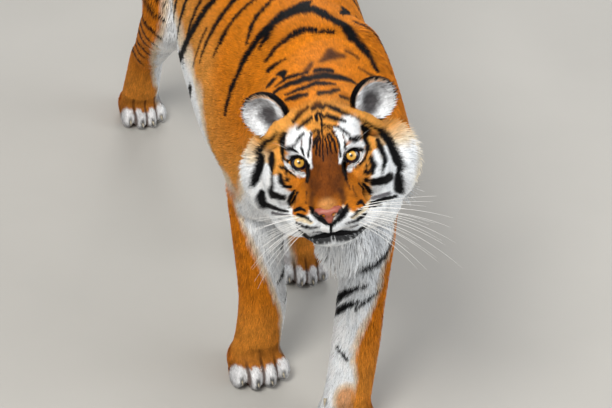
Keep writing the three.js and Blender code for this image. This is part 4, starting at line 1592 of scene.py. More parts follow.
def flank_stripes() -> list[Stroke]:
    """Slanting stripes down both flanks behind the shoulders, some doubled, none quite alike."""
    strokes = []
    for side in (-1, 1):
        first = 350.0 if side < 0 else 232.0
        for i in range(14):
            wave = math.sin(2.1 * i + 1.7 * side)
            back = first + 58.0 * i + 9.0 * wave
            if back > 1010:
                break
            start, slant = 4 + 5 * math.sin(3.3 * i), 22 + 16 * math.sin(1.3 * i + side)
            heavy = 6.5 + 2.2 * math.sin(4.1 * i + side)
            line = [
                (back + slant * t + 7 * math.sin(5 * t + i), side * (start + 104 * t), heavy * shape)
                for t, shape in ((0, 0.5), (0.2, 1.0), (0.4, 0.85), (0.6, 1.15), (0.8, 0.9), (1.0, 0.3))
            ]
            strokes.append(line)
            if i % 2:
                strokes.append([
                    (back + 25 + slant * t + 5 * math.sin(6 * t + i), side * (start + 92 * t),
                     heavy * 0.55 * shape)
                    for t, shape in ((0.25, 0.3), (0.4, 1.0), (0.6, 1.0), (0.8, 0.3))
                ])
    return [torso_stroke(line) for line in strokes]


def torso_stroke(line: tuple, **settings: object) -> Stroke:
    """A stroke of the neck and trunk, its angles turned to mm round the body."""
    return Stroke(tuple((y, angle * GIRTH, half) for y, angle, half in line), **settings)


def leg_bands(limb: Limb) -> list[Stroke]:
    """Stripes of one leg: round from its front in degrees towards the tiger's left, and height in mm."""
    out = limb.side
    bands = []
    if limb is Limb.FORE_LEFT:
        bands = [
            ((-8, 318, 2), (-36, 306, 4), (-70, 284, 6), (-100, 258, 6), (-150, 236, 4)),
            ((-22, 286, 2), (-50, 272, 5), (-80, 250, 6), (-110, 230, 4)),
            ((38, 390, 4), (29, 372, 5), (6, 357, 5), (-20, 349, 4), (-60, 342, 3), (-100, 330, 2)),
            ((28, 302, 2), (5, 293, 3), (-15, 281, 3), (-30, 268, 2)),
            ((-66, 186, 3), (-33, 173, 2.5)),
            ((-172, 126, 3), (-138, 142, 3)),
            ((-20, 452, 3), (-64, 430, 5), (-118, 400, 5)),
        ]
    elif limb is Limb.FORE_RIGHT:
        bands = [
            ((150, 300, 3), (100, 286, 6), (60, 262, 5), (36, 250, 2)),
            ((140, 372, 3), (92, 352, 6), (52, 330, 3)),
            ((130, 214, 3), (90, 200, 4), (62, 192, 2)),
            ((128, 452, 4), (84, 430, 6), (46, 412, 3)),
        ]
    else:
        for i, height in enumerate((672, 622, 574, 528, 484, 440, 398, 356, 316, 276, 240)):
            wave = 7 * math.sin(2.3 * i + out)
            half = 7.0 - 0.22 * i
            outer = ((164, wave - 22, 0.5), (126, -6, 1), (90, wave + 4, 1), (50, -4, 0.8),
                     (22, wave - 16, 0.3))
            inner = ((-170, -14, 0.5), (-128, wave - 2, 1), (-84, -8, 1), (-44, wave - 20, 0.4))
            for line in (outer, inner) if height < 470 else (outer,):
                bands.append([(out * angle, height + rise, half * share) for angle, rise, share in line])
    return [Stroke(tuple((a * LEG_GIRTH, z, half) for a, z, half in line), edge=0.35) for line in bands]


@dataclass(frozen=True)
class HeadChart:
    """The head unrolled about a middle: degrees from a line out of the face."""

    centre: tuple = (-1.0, 54.0, -44.0)
    above: float = 20.4
    around: float = -1.0
    over: float = -3.4

    @property
    def axes(self) -> Array:
        """Columns are the chart's right, up and middle line."""
        ahead = direction(self.around, self.above)
        return rolled_axes(across_plane(X_AXIS, ahead), ahead, self.over)

    def at(self, local: Array) -> Array:
        """Chart places of head-frame points."""
        seen = unit(local - np.array(self.centre)) @ self.axes
        away = np.degrees(np.arccos(np.clip(seen[:, 2], -1, 1)))
        level = np.maximum(np.linalg.norm(seen[:, :2], axis=1, keepdims=True), 1e-6)
        return seen[:, :2] / level * away[:, None]


HEAD_CHART = HeadChart()
FACE_TILT = math.radians(25.0)
HEAD_AHEAD = unit(np.array([0.068, -0.936, 0.346]))
HEAD_STROKES = tuple(Stroke(line, ink) for ink, lines in HEAD_MARKS for line in lines)
# The middle line of the neck and trunk, about which their chart is unrolled: x, y and z.
SPINE = (
    (-74, -262, 770), (-48, -170, 738), (-20, -70, 706), (-4, 40, 672),
    (0, 200, 640), (0, 500, 630), (0, 800, 665), (0, 985, 715),
)


def face_chart(local: Array) -> Array:
    """The face seen from before and a little above, folded over to one side."""
    height = local[:, 2] * math.cos(FACE_TILT) + local[:, 1] * math.sin(FACE_TILT)
    return np.column_stack([np.abs(local[:, 0]), height])


def jittered(chart: Array, points: Array, amount: float, size: float) -> Array:
    """Chart places moved about a little, which makes every stroke's edge uneven."""
    return chart + amount * np.column_stack([noise(points, size, 21), noise(points, size, 22)])


def view_chart(local: Array) -> tuple[Array, Array]:
    """The head seen from before, in mm towards the tiger's left and up, and one where it faces that way."""
    right = across_plane(X_AXIS, HEAD_AHEAD)
    chart = local @ np.stack([right, np.cross(HEAD_AHEAD, right)], 1) - [2, 4]
    limit = -150 + 150 * smooth(90, 50, np.abs(chart[:, 0])) * smooth(-40, -80, chart[:, 1])
    return jittered(chart, local, 1.3, 5.0), smooth(-15, 15, local @ HEAD_AHEAD - limit)


def torso_chart(points: Array) -> Array:
    """Distance back and round from the spine, in mm."""
    spine = np.array(SPINE, float)
    x = np.interp(points[:, 1], spine[:, 1], spine[:, 0])
    z = np.interp(points[:, 1], spine[:, 1], spine[:, 2])
    return np.column_stack([points[:, 1], np.degrees(np.arctan2(points[:, 0] - x, points[:, 2] - z)) * GIRTH])


class Markings:
    """Colours of the coat at any place, alike for skin and hair."""

    def __init__(self, form: Form) -> None:
        """Gathers the strokes of every region."""
        self.form = form
        black = [torso_stroke(line) for line in TORSO_BLACK]
        self.torso_strokes = [*black, *flank_stripes()]
        self.withers = [torso_stroke(line, ink=Ink.BROWN, edge=0.7, strength=0.9) for line in WITHERS]
        self.leg_strokes = {limb: leg_bands(limb) for limb in Limb}

    def colours(self, points: Array, shares: Array) -> Array:
        """Light values at points, each region's drawn by its share.

        Args:
            points: places on the skin or in the coat.
            shares: how much each region has a say, a row for each region.

        Returns:
            One colour for each place.
        """
        sharper = shares**3
        sharper[Region.HEAD.value] *= 1 + 19 * smooth(70, 20, HEAD.local(points)[:, 2])
        for region in (Region.FORE_RIGHT, Region.FORE_LEFT):
            sharper[region.value] *= smooth(560, 440, points[:, 2])
        sharper[Region.TRUNK.value] += 1e-6
        sharper /= sharper.sum(0)
        result = np.zeros((len(points), 3))
        for region in Region:
            rows = np.flatnonzero(sharper[region.value] > 0.02)
            if len(rows):
                drawn = self.region_colours(region, points[rows])
                result[rows] += drawn * sharper[region.value, rows, None]
        mottle = 1 + 0.14 * noise(points, 26, 9) + 0.16 * noise(points * [1, 1, 0.35], 7, 10)
        return np.clip(result * mottle[:, None], 0.002, 1.0)

    def region_colours(self, region: Region, points: Array) -> Array:
        """One region's colours."""
        if region is Region.HEAD:
            return self.head(HEAD.local(points))
        if region is Region.TAIL:
            return self.tail(points)
        if region.limb is not None:
            return self.leg(region.limb, points)
        return self.torso(points)

    def head(self, local: Array) -> Array:
        """Colours of the head: orange, with white brows, cheeks and muzzle, a rust bridge and black marks."""
        chart, face = HEAD_CHART.at(local), face_chart(local)
        away, up = np.abs(chart[:, 0]), chart[:, 1]
        front = smooth(86, 76, face[:, 0]) * smooth(30, 0, local[:, 1])
        right, left = (np.interp(away, HEAD_EDGE[0], heights) for heights in HEAD_EDGE[1:])
        edge = np.where(chart[:, 0] < 0, right, left)
        muzzle = np.interp(face[:, 0], *MUZZLE_EDGE)
        ragged = 5 * noise(local, 9.0, 3)
        soft = 5 + 9 * smooth(70, 95, away)
        below = smooth(5, -5, face[:, 1] - muzzle + ragged)
        pale = front * below + (1 - front) * smooth(1, -1, (up - edge + ragged) / soft)
        colours = plain_coat(Ink.ORANGE, len(local))
        gold = smooth(30, 55, away) * smooth(110, 80, up) * 0.9 + 0.7 * smooth(30, 52, up)
        colours = toned(colours, Ink.GOLD, gold)
        colours = toned(colours, Ink.CREAM, smooth(60, 75, away) * smooth(34, 10, up - edge) * 0.6)
        view, facing = view_chart(local)
        brows = np.max([bump_at(view, *patch, 0.2) for patch in BROW_PATCHES], axis=0) * facing
        colours = toned(colours, Ink.WHITE, brows)
        bridge = bump_at(face, 0, -30, 42, 66, 0.35) * smooth(48, 34, up)
        streaks = smooth(0.1, 0.5, noise(local * [1, 0.3, 0.3], 4.0, 17))
        colours = toned(toned(colours, Ink.RUST, 0.9 * bridge), Ink.BROWN, 0.35 * bridge * streaks)
        colours = toned(colours, Ink.TAN, bump_at(face, 0, -92, 17, 12, 0.5) * 0.7)
        colours = toned(colours, Ink.BROWN, 0.35 * bump_at(face, 48, -72, 24, 34, 0.6))
        colours = whitened(colours, pale)
        far = smooth(100, 112, away) * smooth(-40, -15, up)
        colours = toned(colours, Ink.CREAM, far * pale * 0.8)
        colours = painted(colours, chart, CROWN_BLACK, 1.8)
        # Painted shade down the sides of the bridge.
        ahead = np.flatnonzero(local[:, 1] < 40)
        colours[ahead] = painted(colours[ahead], face[ahead], BRIDGE_SIDE_SHADE)
        marked = painted(colours.copy(), view, HEAD_STROKES, 1.35)
        colours += (marked - colours) * facing[:, None]
        return self.lips(colours, local)

    def lips(self, colours: Array, local: Array) -> Array:
        """Black lips and the dark fringe that hangs below them."""
        rows = np.flatnonzero((local[:, 1] < 10) & (local[:, 2] < -80))
        half = folded(local[rows])
        away, place = line_distance(half, LIPS)
        lip = smooth(6.5, 4.0, away) * smooth(1.0, 0.9, place)
        below = half - np.array([0, 0, -7.5])
        fringe = smooth(15.0, 7.0, line_distance(below, LIPS)[0])
        fringe = fringe * smooth(1.0, 0.8, place) * smooth(2, -2, below[:, 2] + 100)
        fringe *= 0.6 + 0.4 * (noise(half * [1, 0.2, 0.2], 2.2, 5) > -0.3)
        colours[rows] = toned(colours[rows], Ink.BLACK, np.maximum(lip, 0.95 * fringe))
        return colours

    def torso(self, points: Array) -> Array:
        """Colours of the neck and trunk: orange above, gold at the flank's edge and white below."""
        chart = torso_chart(points)
        angle = np.abs(chart[:, 1]) / GIRTH + 5 * noise(points, 60, 1)
        low = np.interp(points[:, 1], *BELLY_EDGE)
        colours = plain_coat(Ink.ORANGE, len(points))
        colours = toned(colours, Ink.GOLD, smooth(-46, 2, angle - low) * 0.75)
        colours = whitened(colours, smooth(-4, 14, angle - low))
        colours = painted(colours, chart, tuple(self.withers), 1.3)
        return painted(colours, jittered(chart, points, 3.5, 12.0), tuple(self.torso_strokes), 1.6)

    def tail(self, points: Array) -> Array:
        """Colours of the tail: orange above and white below, with dark rings and a black tip."""
        place, angle, _ = self.form.tail.chart(points)
        length = self.form.tail.reached[-1]
        colours = plain_coat(Ink.ORANGE, len(points))
        colours = toned(colours, Ink.WHITE, smooth(95, 140, np.abs(angle)))
        wave = place + 7 * np.sin(np.radians(angle) * 2 + place / 60)
        ring = np.abs((wave + 24) % 64 - 32) - np.interp(place, (0, length), (22, 14))
        colours = toned(colours, Ink.BLACK, smooth(-3, 3, ring) * smooth(20, 90, place))
        return toned(colours, Ink.BLACK, smooth(length - 62, length - 46, place))

    def leg(self, limb: Limb, points: Array) -> Array:
        """Colours of a leg: orange outside, white inside and on the toes."""
        fine = self.form.columns[limb].fine
        order = np.argsort(fine[:, 2])
        x = np.interp(points[:, 2], fine[order, 2], fine[order, 0])
        y = np.interp(points[:, 2], fine[order, 2], fine[order, 1])
        angle = np.degrees(np.arctan2(points[:, 0] - x, y - points[:, 1]))
        height = points[:, 2]
        out = limb.side
        inner = -angle * out
        start, stop = np.interp(height, *LEG_EDGES[limb]), 172 if limb.fore else 168
        reach = 8 * smooth(140, 60, height)
        ragged = 6 * noise(points * [1, 1, 0.25], 6.0, 14)
        rear = smooth(stop + 10, stop - 10, inner)
        pale = smooth(start - 14 + reach, start + 14 + reach, inner + ragged) * rear
        colours = plain_coat(Ink.ORANGE, len(points))
        colours = toned(colours, Ink.GOLD, 0.4 * smooth(240, 120, height))
        ankle = bump_at(np.column_stack([angle, height]), -22 * out, 92, 30, 30)
        colours = whitened(colours, pale * (1 - 0.9 * ankle))
        chart = jittered(np.column_stack([angle * LEG_GIRTH, height]), points, 2.5, 9.0)
        colours = painted(colours, chart, tuple(self.leg_strokes[limb]), 1.25)
        return self.paw(colours, limb, points)

    def paw(self, colours: Array, limb: Limb, points: Array) -> Array:
        """White toes, with painted shade between the toes, over each claw in its sheath and in the knuckle
        crease behind the white.
        """
        paw = self.form.paws[limb]
        local = paw.local(points)
        rows = np.flatnonzero((local[:, 2] < paw.size.height * 1.15) & (local[:, 1] < paw.size.length * 0.3))
        part = local[rows]
        across, back, raised = (part / [paw.size.width, paw.size.length, paw.size.height]).T
        across = np.abs(across)
        brink = -0.33 + 0.9 * across**2 + 0.05 * noise(part * [1, 0.4, 1], 6.0, 4)
        toes = smooth(0.03, -0.03, back - brink) * smooth(1.0, 0.8, raised)
        base = toned(colours[rows], Ink.WHITE, toes * 0.95)
        place = part[:, 0] / (paw.size.width * 0.238)
        # Painted shade in the creases between the toes.
        toe_gap_shade = smooth(0.16, 0.05, np.abs(place - np.round(place))) * smooth(-0.12, -0.26, back)
        middle = np.abs(place - np.floor(place) - 0.5)
        # Painted shadow of each claw in its sheath.
        claw = smooth(0.2, 0.09, middle) * smooth(0.6, 0.45, raised)
        claw *= smooth(0.12, 0.2, raised) * smooth(-0.3, -0.38, back)
        # Painted shade in the knuckle crease just behind the white.
        knuckle_shade = smooth(0.14, 0.05, np.abs(back - brink - 0.08))
        base = toned(base, Ink.RUST, 0.4 * knuckle_shade)
        base = toned(base, Ink.BROWN, 0.85 * toe_gap_shade * (np.abs(place) < 1.6))
        colours[rows] = toned(base, Ink.BLACK, 0.85 * claw)
        return colours


# ---- The coat


@dataclass
class Roots:
    """Where tufts stand: place, outward normal, region shares, lie and the coat's depth there."""

    place: Array
    normal: Array
    shares: Array
    lie: Array
    depth: Array

    def __len__(self) -> int:
        """Number of roots."""
        return len(self.place)

    def picked(self, rows: Array) -> "Roots":
        """Some of the roots."""
        return Roots(self.place[rows], self.normal[rows], self.shares[:, rows], self.lie[rows],
                     self.depth[rows])


def scattered(mesh: Mesh, weight: Array, count: int, rng: np.random.Generator) -> tuple[Array, Array, Array]:
    """Places spread over a mesh.

    Args:
        mesh: the surface.
        weight: how thickly each face is covered, to the square mm.
        count: how many places.
        rng: source of chance.

    Returns:
        Places, their normals and the number of the face that each stands on.
    """
    corners = mesh.points[mesh.faces]
    area = np.linalg.norm(np.cross(corners[:, 1] - corners[:, 0], corners[:, 2] - corners[:, 0]), axis=1) / 2
    total = np.cumsum(area * weight)
    ticks = (np.arange(count) + rng.random(count)) / count * total[-1]
    face = np.minimum(np.searchsorted(total, ticks), len(total) - 1)
    r1, r2 = np.sqrt(rng.random(count)), rng.random(count)
    share = np.stack([1 - r1, r1 * (1 - r2), r1 * r2], 1)[:, :, None]
    place = (mesh.points[mesh.faces[face]] * share).sum(1)
    normal = unit((mesh.normals()[mesh.faces[face]] * share).sum(1))
    return place, normal, face


class Lie:
    """Which way the coat lies at any place on the skin."""

    def __init__(self, form: Form) -> None:
        """Keeps the form."""
        self.form = form

    def at(self, points: Array, normals: Array, shares: Array) -> Array:
        """Unit directions along the skin, each region's drawn by its share.

        Args:
            points: places on the skin.
            normals: outward directions there.
            shares: how much each region has a say, a row for each region.

        Returns:
            One direction for each place.
        """
        total = np.zeros((len(points), 3))
        for region in Region:
            rows = np.flatnonzero(shares[region.value] > 0.01)
            if len(rows):
                way = self.way(region, points[rows], normals[rows])
                total[rows] += way * shares[region.value, rows, None]
        return across_plane(total, normals)

    def way(self, region: Region, points: Array, normals: Array) -> Array:
        """One region's directions."""
        if region is Region.HEAD:
            return self.head(points)
        if region is Region.TAIL:
            return self.form.tail.chart(points)[2]
        if region.limb is not None:
            return self.leg(region.limb, points)
        ahead, side = smooth(0.3, 0.9, -normals[:, 1]), np.abs(normals[:, 0])
        low = smooth(580, 480, points[:, 2])
        return np.column_stack([0 * side, 1 - 0.9 * ahead - 0.4 * low, -0.45 * side - ahead - 0.6 * low])

    def head(self, points: Array) -> Array:
        """Away from the nose, and down on the cheeks and ruff."""
        local = HEAD.local(points)
        away = unit(local - [0, -140, -48])
        beside = smooth(50, 100, np.abs(local[:, 0])) * smooth(0, 80, local[:, 1])
        side = beside * smooth(40, -20, local[:, 2])
        away[:, 2] -= 0.5 * side
        away[:, 1] -= 0.25 * side
        return HEAD.turned(away)

    def leg(self, limb: Limb, points: Array) -> Array:
        """Down the bones and a little back, then forward over the toes."""
        column = self.form.columns[limb]
        paw = self.form.paws[limb]
        down = np.array([0.0, 0.3, -1.0])
        steps = np.gradient(column.fine[:, :3], axis=0)
        order = np.argsort(column.fine[:, 2])
        bone = np.stack([np.interp(points[:, 2], column.fine[order, 2], steps[order, i])
                         for i in range(3)], 1)
        toes = np.array([0.0, -1.0, -0.4]) @ turn_z(paw.leg.splay).T
        low = smooth(paw.size.height * 1.2, paw.size.height * 0.7, points[:, 2])[:, None]
        return (unit(bone) + 0.4 * down) * (1 - low) + toes * low


@dataclass(frozen=True)
class Tufts:
    """Shape of the tufts: how long, wide and raised they are for the depth of coat they make."""

    sunk: float = 0.8
    spread: float = 7.0
    clump: float = 6.0
    clump_size: float = 22.0
    # Painted shade along each tuft, as a share of its marking's colour: darkest at the root among the hairs, a
    # little lighter than the marking at the tip.
    root_painted_shade: float = 0.72
    middle_painted_shade: float = 0.94
    tip_painted_shade: float = 1.06
    lean: float = 0.35
    ground_gap: float = 0.3

    def length(self, depth: Array) -> Array:
        """Length along the lie, in mm."""
        return 3.5 + 2.1 * depth

    def width(self, length: Array) -> Array:
        """Width at the root, in mm."""
        return 0.75 + 0.05 * length

    def thickness(self, depth: Array) -> Array:
        """How many stand on a square mm, before scaling: more where they are short."""
        length = self.length(depth)
        return (length * self.width(length)) ** -0.8

    def built(self, roots: Roots, rng: np.random.Generator) -> tuple[Mesh, Array, Array]:
        """Flat tapered tufts bent over along the lie.

        Each has two points at the root, two at the middle and one at the tip.

        Args:
            roots: where they stand.
            rng: source of chance.

        Returns:
            The mesh, its shading normals and a shade for each point: its own random tone times the painted
            shade along the tuft.
        """
        count = len(roots)
        long = smooth(9.0, 16.0, roots.depth)
        length = self.length(roots.depth) * rng.uniform(0.72, 1.22 + 0.35 * long, count)
        width = self.width(length) * rng.uniform(0.75, 1.2, count)
        turn = self.clump * noise(roots.place, self.clump_size, 7) + self.spread * rng.normal(size=count)
        side = np.cross(roots.normal, roots.lie)
        angle = np.radians(turn)[:, None]
        along = np.cos(angle) * roots.lie + np.sin(angle) * side
        side = np.cross(roots.normal, along)
        tilt = np.radians(rng.normal(0, 18, count))[:, None]
        flat = np.cos(tilt) * side + np.sin(tilt) * roots.normal
        rise = (roots.depth * rng.uniform(0.75, 1.12, count))[:, None]
        reach = np.sqrt(np.maximum(length[:, None] ** 2 - rise**2, (0.5 * length[:, None]) ** 2))
        root = roots.place - roots.normal * self.sunk
        middle = roots.place + along * reach * 0.42 + roots.normal * rise * 0.78
        tip = roots.place + along * reach + roots.normal * rise * 0.98
        half = (width / 2)[:, None]
        half, leaned = flat * half, self.lean * flat
        points = np.stack([root - half, root + half, middle - half * 0.85, middle + half * 0.85, tip], 1)
        edges = [roots.normal - leaned, roots.normal + leaned]
        normals = np.stack([*edges, *edges, roots.normal], 1)
        points[:, :, 2] = np.maximum(points[:, :, 2], self.ground_gap)
        first = np.arange(count)[:, None] * 5
        faces = np.concatenate([first + [0, 3, 1], first + [0, 2, 3], first + [2, 4, 3]])
        own = rng.normal(1.0, 0.15, count)[:, None] + 0.14 * noise(roots.place, 9.0, 8)[:, None]
        # Painted shade along the tuft, darkest at the root, times the tuft's own random tone.
        shade = own * np.array([self.root_painted_shade] * 2 + [self.middle_painted_shade] * 2 + [self.tip_painted_shade])
        mesh = Mesh(points.reshape(-1, 3), faces)
        return mesh, unit(normals).reshape(-1, 3), shade.reshape(-1)


def shaded(colours: Array, shade: Array) -> Array:
    """Colours darkened or lightened along each tuft by its painted shade, the pale ones less."""
    pale = np.clip(colours.mean(1), 0, 1)
    return colours * (1 + (shade - 1) * (1 - 0.6 * pale))[:, None]


PATCH = 0.003
PATCH_CORNERS = np.array([(-0.5, -0.5), (0.5, -0.5), (-0.45, 0.0), (0.45, 0.0), (0.0, 0.5)])
# Tufts in each region's pieces; the head, neck and trunk have a left and a right piece.
TUFT_COUNTS = {
    Region.HEAD: 124000, Region.NECK: 44000, Region.TRUNK: 122000, Region.TAIL: 22000,
    Region.FORE_RIGHT: 34000, Region.FORE_LEFT: 34000, Region.HIND_RIGHT: 34000, Region.HIND_LEFT: 34000,
}


def patches(places: Array) -> Array:
    """A small patch of the map for each tuft, about its root's place."""
    return (places[:, None] + PATCH_CORNERS * PATCH).reshape(-1, 2)


class Coat:
    """The coat of the whole animal, in pieces by region."""

    def __init__(self, form: Form, skin: Skin, marks: Markings) -> None:
        """Finds the lie and depth over the skin."""
        self.form, self.marks, self.tufts, self.lie = form, marks, Tufts(), Lie(form)
        self.mesh = skin.mesh
        middle = self.mesh.points[self.mesh.faces].mean(1)
        distances = form.distances(middle)
        self.shares = form.shares(distances)
        self.region = distances.argmin(0)
        self.bare = self.bareness(middle)
        self.weight = self.tufts.thickness(form.depth(middle, self.shares)) * (1 - self.bare)

    def bareness(self, middle: Array) -> Array:
        """One where no hair grows: inside the lids, under the nose pad, on the lips and under the ears."""
        local = HEAD.local(middle)
        bare = np.zeros(len(middle))
        for eye in EYES:
            seen = eye.local(local)
            near = (np.linalg.norm(seen, axis=1) < Skin.lid_reach) & (seen[:, 2] > 0)
            bare = np.maximum(bare, near * (eye.ratio(seen) < 1.12))
        nose = Egg((0, -126, -62), (24, 20, 18)).distance(local)
        lips = line_distance(folded(local), LIPS)[0]
        soles = middle[:, 2] < 2 * Skin.ground_gap
        return np.maximum.reduce([bare, nose < 0, lips < 2.0, soles]).astype(float)

    def roots(self, faces: Array, count: int, rng: np.random.Generator) -> Roots:
        """Roots of one piece, spread over some of the skin's faces."""
        weight = np.zeros(len(self.mesh.faces))
        weight[faces] = self.weight[faces]
        place, normal, face = scattered(self.mesh, weight, count, rng)
        shares = self.shares[:, face]
        depth = self.form.depth(place, shares)
        return Roots(place, normal, shares, self.lie.at(place, normal, shares), depth)

    def colours(self, roots: Roots, mesh: Mesh) -> Array:
        """Colours of each tuft's five points: the marking at its middle, and at its tip."""
        corners = mesh.points.reshape(-1, 5, 3)
        middle = self.marks.colours(corners[:, 2:4].mean(1), roots.shares)
        tip = self.marks.colours(corners[:, 4], roots.shares)
        return np.stack([middle, middle, middle, middle, tip], 1).reshape(-1, 3)

    def unwrap(self, region: Region, side: int, points: Array) -> Array:
        """Places on the map for one piece: the head round its middle, the rest round and along.

        Args:
            region: the part of the coat.
            side: which half of it.
            points: roots of its tufts.

        Returns:
            A place on the map for each root, from 0 to 1 both ways.
        """
        if region is Region.HEAD:
            flat = HEAD_CHART.at(HEAD.local(points)) / [180.0, 360.0] + [0.0, 0.5]
            flat[:, 0] *= side
        elif region in (Region.NECK, Region.TRUNK):
            chart = torso_chart(points)
            span = (-330.0, 160.0) if region is Region.NECK else (-220.0, 1080.0)
            flat = np.column_stack([
                side * chart[:, 1] / (180 * GIRTH), (chart[:, 0] - span[0]) / (span[1] - span[0]),
            ])
        else:
            tube = self.form.tail if region is Region.TAIL else self.form.columns[region.limb]
            place, angle, _ = tube.chart(points)
            flat = np.column_stack([angle / 360 + 0.5, place / tube.reached[-1] * 0.9 + 0.05])
            if region.limb is not None:
                paw = self.form.paws[region.limb]
                low = points[:, 2] < paw.size.height
                local = paw.local(points[low])
                flat[low] = local[:, :2] / 600 + [0.5, 0.9]
        return np.clip(flat, 0.004, 0.996)

    def add(self, builder: Builder, material: bpy.types.Material) -> None:
        """Adds every piece of the coat."""
        middle = self.mesh.points[self.mesh.faces].mean(1)
        for region, count in TUFT_COUNTS.items():
            if region in (Region.HEAD, Region.NECK, Region.TRUNK):
                across = HEAD.local(middle)[:, 0] if region is Region.HEAD else torso_chart(middle)[:, 1]
                halves = ((-1, "_right"), (1, "_left"))
            else:
                across, halves = np.ones(len(middle)), ((1, ""),)
            for side, word in halves:
                faces = np.flatnonzero((self.region == region.value) & (across * side > 0))
                number = int(count / len(halves) * (1.0))
                self.add_piece(builder, material, region, side, word, faces, number)

    def add_piece(
        self,
        builder: Builder,
        material: bpy.types.Material,
        region: Region,
        side: int,
        word: str,
        faces: Array,
        count: int,
    ) -> None:
        """Adds one piece: its tufts, their colours and their places on the map.

        Args:
            builder: makes the object.
            material: the hair's.
            region: the part of the coat.
            side: one on the tiger's left or where the region isn't halved, minus one on its right.
            word: the end of the piece's name.
            faces: the skin's faces that it covers.
            count: how many tufts it has.
        """
        rng = np.random.default_rng(100 + 2 * region.value + (side > 0))
        roots = self.roots(faces, count, rng)
        mesh, normals, shade = self.tufts.built(roots, rng)
        tint = shaded(self.colours(roots, mesh), shade)
        unwrap = patches(self.unwrap(region, side, roots.place))
        name = f"coat_{region.name.lower()}{word}"
        builder.add(name, mesh, material, Finish.COAT, tint, normals, unwrap)
        log.info("%s has %d tufts", name, count)


# ---- Ears, whiskers and claws


@dataclass
class EarCoat:
    """Hair of both ears: white inside round a hollow darkened with painted shade, black behind with a white
    spot.
    """

    tufts: Tufts
    count: int = 9000
    middle_height: float = 4.0
    half_width: float = 43.0
    half_height: float = 48.0

    def away(self, local: Array) -> Array:
        """Distance from the ear's middle, one at the tips of its hair."""
        return np.hypot(local[:, 0] / self.half_width, (local[:, 2] - self.middle_height) / self.half_height)

    def inside(self, ear: Ear, local: Array) -> Array:
        """One in the cup, and nought behind it."""
        return smooth(4.0, 0.5, ear.hollow.distance(local))

    def tint(self, ear: Ear, local: Array) -> Array:
        """Colours of the ear."""
        out, height = local[:, 0] * ear.side, local[:, 2]
        inside = self.inside(ear, local)
        away = self.away(local)
        back = plain_coat(Ink.BLACK, len(local))
        back = toned(back, Ink.WHITE, bump_at(np.column_stack([out, height]), 4, 6, 17, 15))
        back = toned(back, Ink.ORANGE, smooth(-20, -36, height))
        cup = plain_coat(Ink.WHITE, len(local))
        cup = toned(cup, Ink.GREY, 0.3 + 0.5 * noise(local, 4.0, 11))
        # Painted shade in the cup's hollow.
        hollow = bump_at(np.column_stack([out, height]), -3, -4, 19, 26, 0.5)
        cup = toned(cup, Ink.HOLLOW_SHADE, 0.92 * hollow)
        cup = toned(cup, Ink.WHITE, 0.6 * smooth(12, 30, out) * smooth(30, 10, height))
        colours = mixed(back, cup, inside)
        colours = toned(colours, Ink.GOLD, smooth(0.78, 0.9, away) * smooth(10, -14, out) * inside)
        colours = toned(colours, Ink.BLACK,
                        smooth(0.88, 0.97, away) * smooth(-20, 0, height) * smooth(-30, -10, out))
        return toned(colours, Ink.GOLD, smooth(-26, -38, height))

    def roots(self, ear: Ear, mesh: Mesh, rng: np.random.Generator) -> Roots:
        """Roots over the ear: hair sweeps up and out, and across the cup from its inner edge."""
        place, normal, _ = scattered(mesh, np.ones(len(mesh.faces)), self.count, rng)
        local = ear.local(place)
        inside = self.inside(ear, local)[:, None]
        fan = unit(local - np.array([-34.0 * ear.side, 0, -52]))
        rise = np.array([0.25 * ear.side, 0.0, 1.0])
        lie = (rise * (1 - inside) + fan * inside) @ ear.axes.T
        away = self.away(local)
        depth = 3.0 + inside[:, 0] * 4.5 * smooth(1.0, 0.8, away) + 1.5 * smooth(0.8, 1.0, away)
        lie = across_plane(HEAD.turned(lie), normal)
        return Roots(place, normal, np.zeros((len(Region), len(place))), lie, depth)

    def add(self, builder: Builder, made: dict) -> None:
        """Adds the ears' skins and one piece of hair for each."""
        for ear in EARS:
            side = SIDE_WORDS[ear.side]
            mesh = ear.mesh()
            skin_tint = self.tint(ear, ear.local(mesh.points))
            builder.add(f"ear_{side}_skin", mesh, made["skin"], Finish.EAR, skin_tint, nodes=(f"ear_{side}",))
            rng = np.random.default_rng(40 + ear.side)
            roots = self.roots(ear, mesh, rng)
            hair, normals, shade = self.tufts.built(roots, rng)
            middle = hair.points.reshape(-1, 5, 3)[:, 2:4].mean(1)
            tint = shaded(np.repeat(self.tint(ear, ear.local(middle)), 5, 0), shade)
            spread = ear.local(roots.place) / [100, 100, 140] + 0.5
            behind = 1 - self.inside(ear, ear.local(roots.place))
            places = np.column_stack([spread[:, 0] / 2 + 0.5 * (behind > 0.5), spread[:, 2]])
            builder.add(f"coat_ear_{side}", hair, made["coat"], Finish.EAR, tint, normals, patches(places))


@dataclass
class Lips:
    """The bare black edge of the mouth, thickest in the middle."""

    middle: float = 5.4
    corner: float = 2.2

    def add(self, builder: Builder, made: dict) -> None:
        """Adds the lips as one smooth rim from corner to corner."""
        half = np.array(LIPS, float)
        line = np.concatenate([half[:0:-1] * [-1, 1, 1], half])
        t = np.linspace(0, len(line) - 1, 6 * len(line))
        path = np.stack([np.interp(t, np.arange(len(line)), line[:, i]) for i in range(3)], 1)
        place = np.abs(t / (len(line) - 1) * 2 - 1)
        mesh = swept(HEAD.world(path), self.middle + (self.corner - self.middle) * place**0.8, 10)
        tint = linear(Ink.BLACK.value) * (0.9 + 0.4 * noise(mesh.points, 4.0, 6))[:, None]
        builder.add("lips", mesh, made["lip"], Finish.LIP, tint)


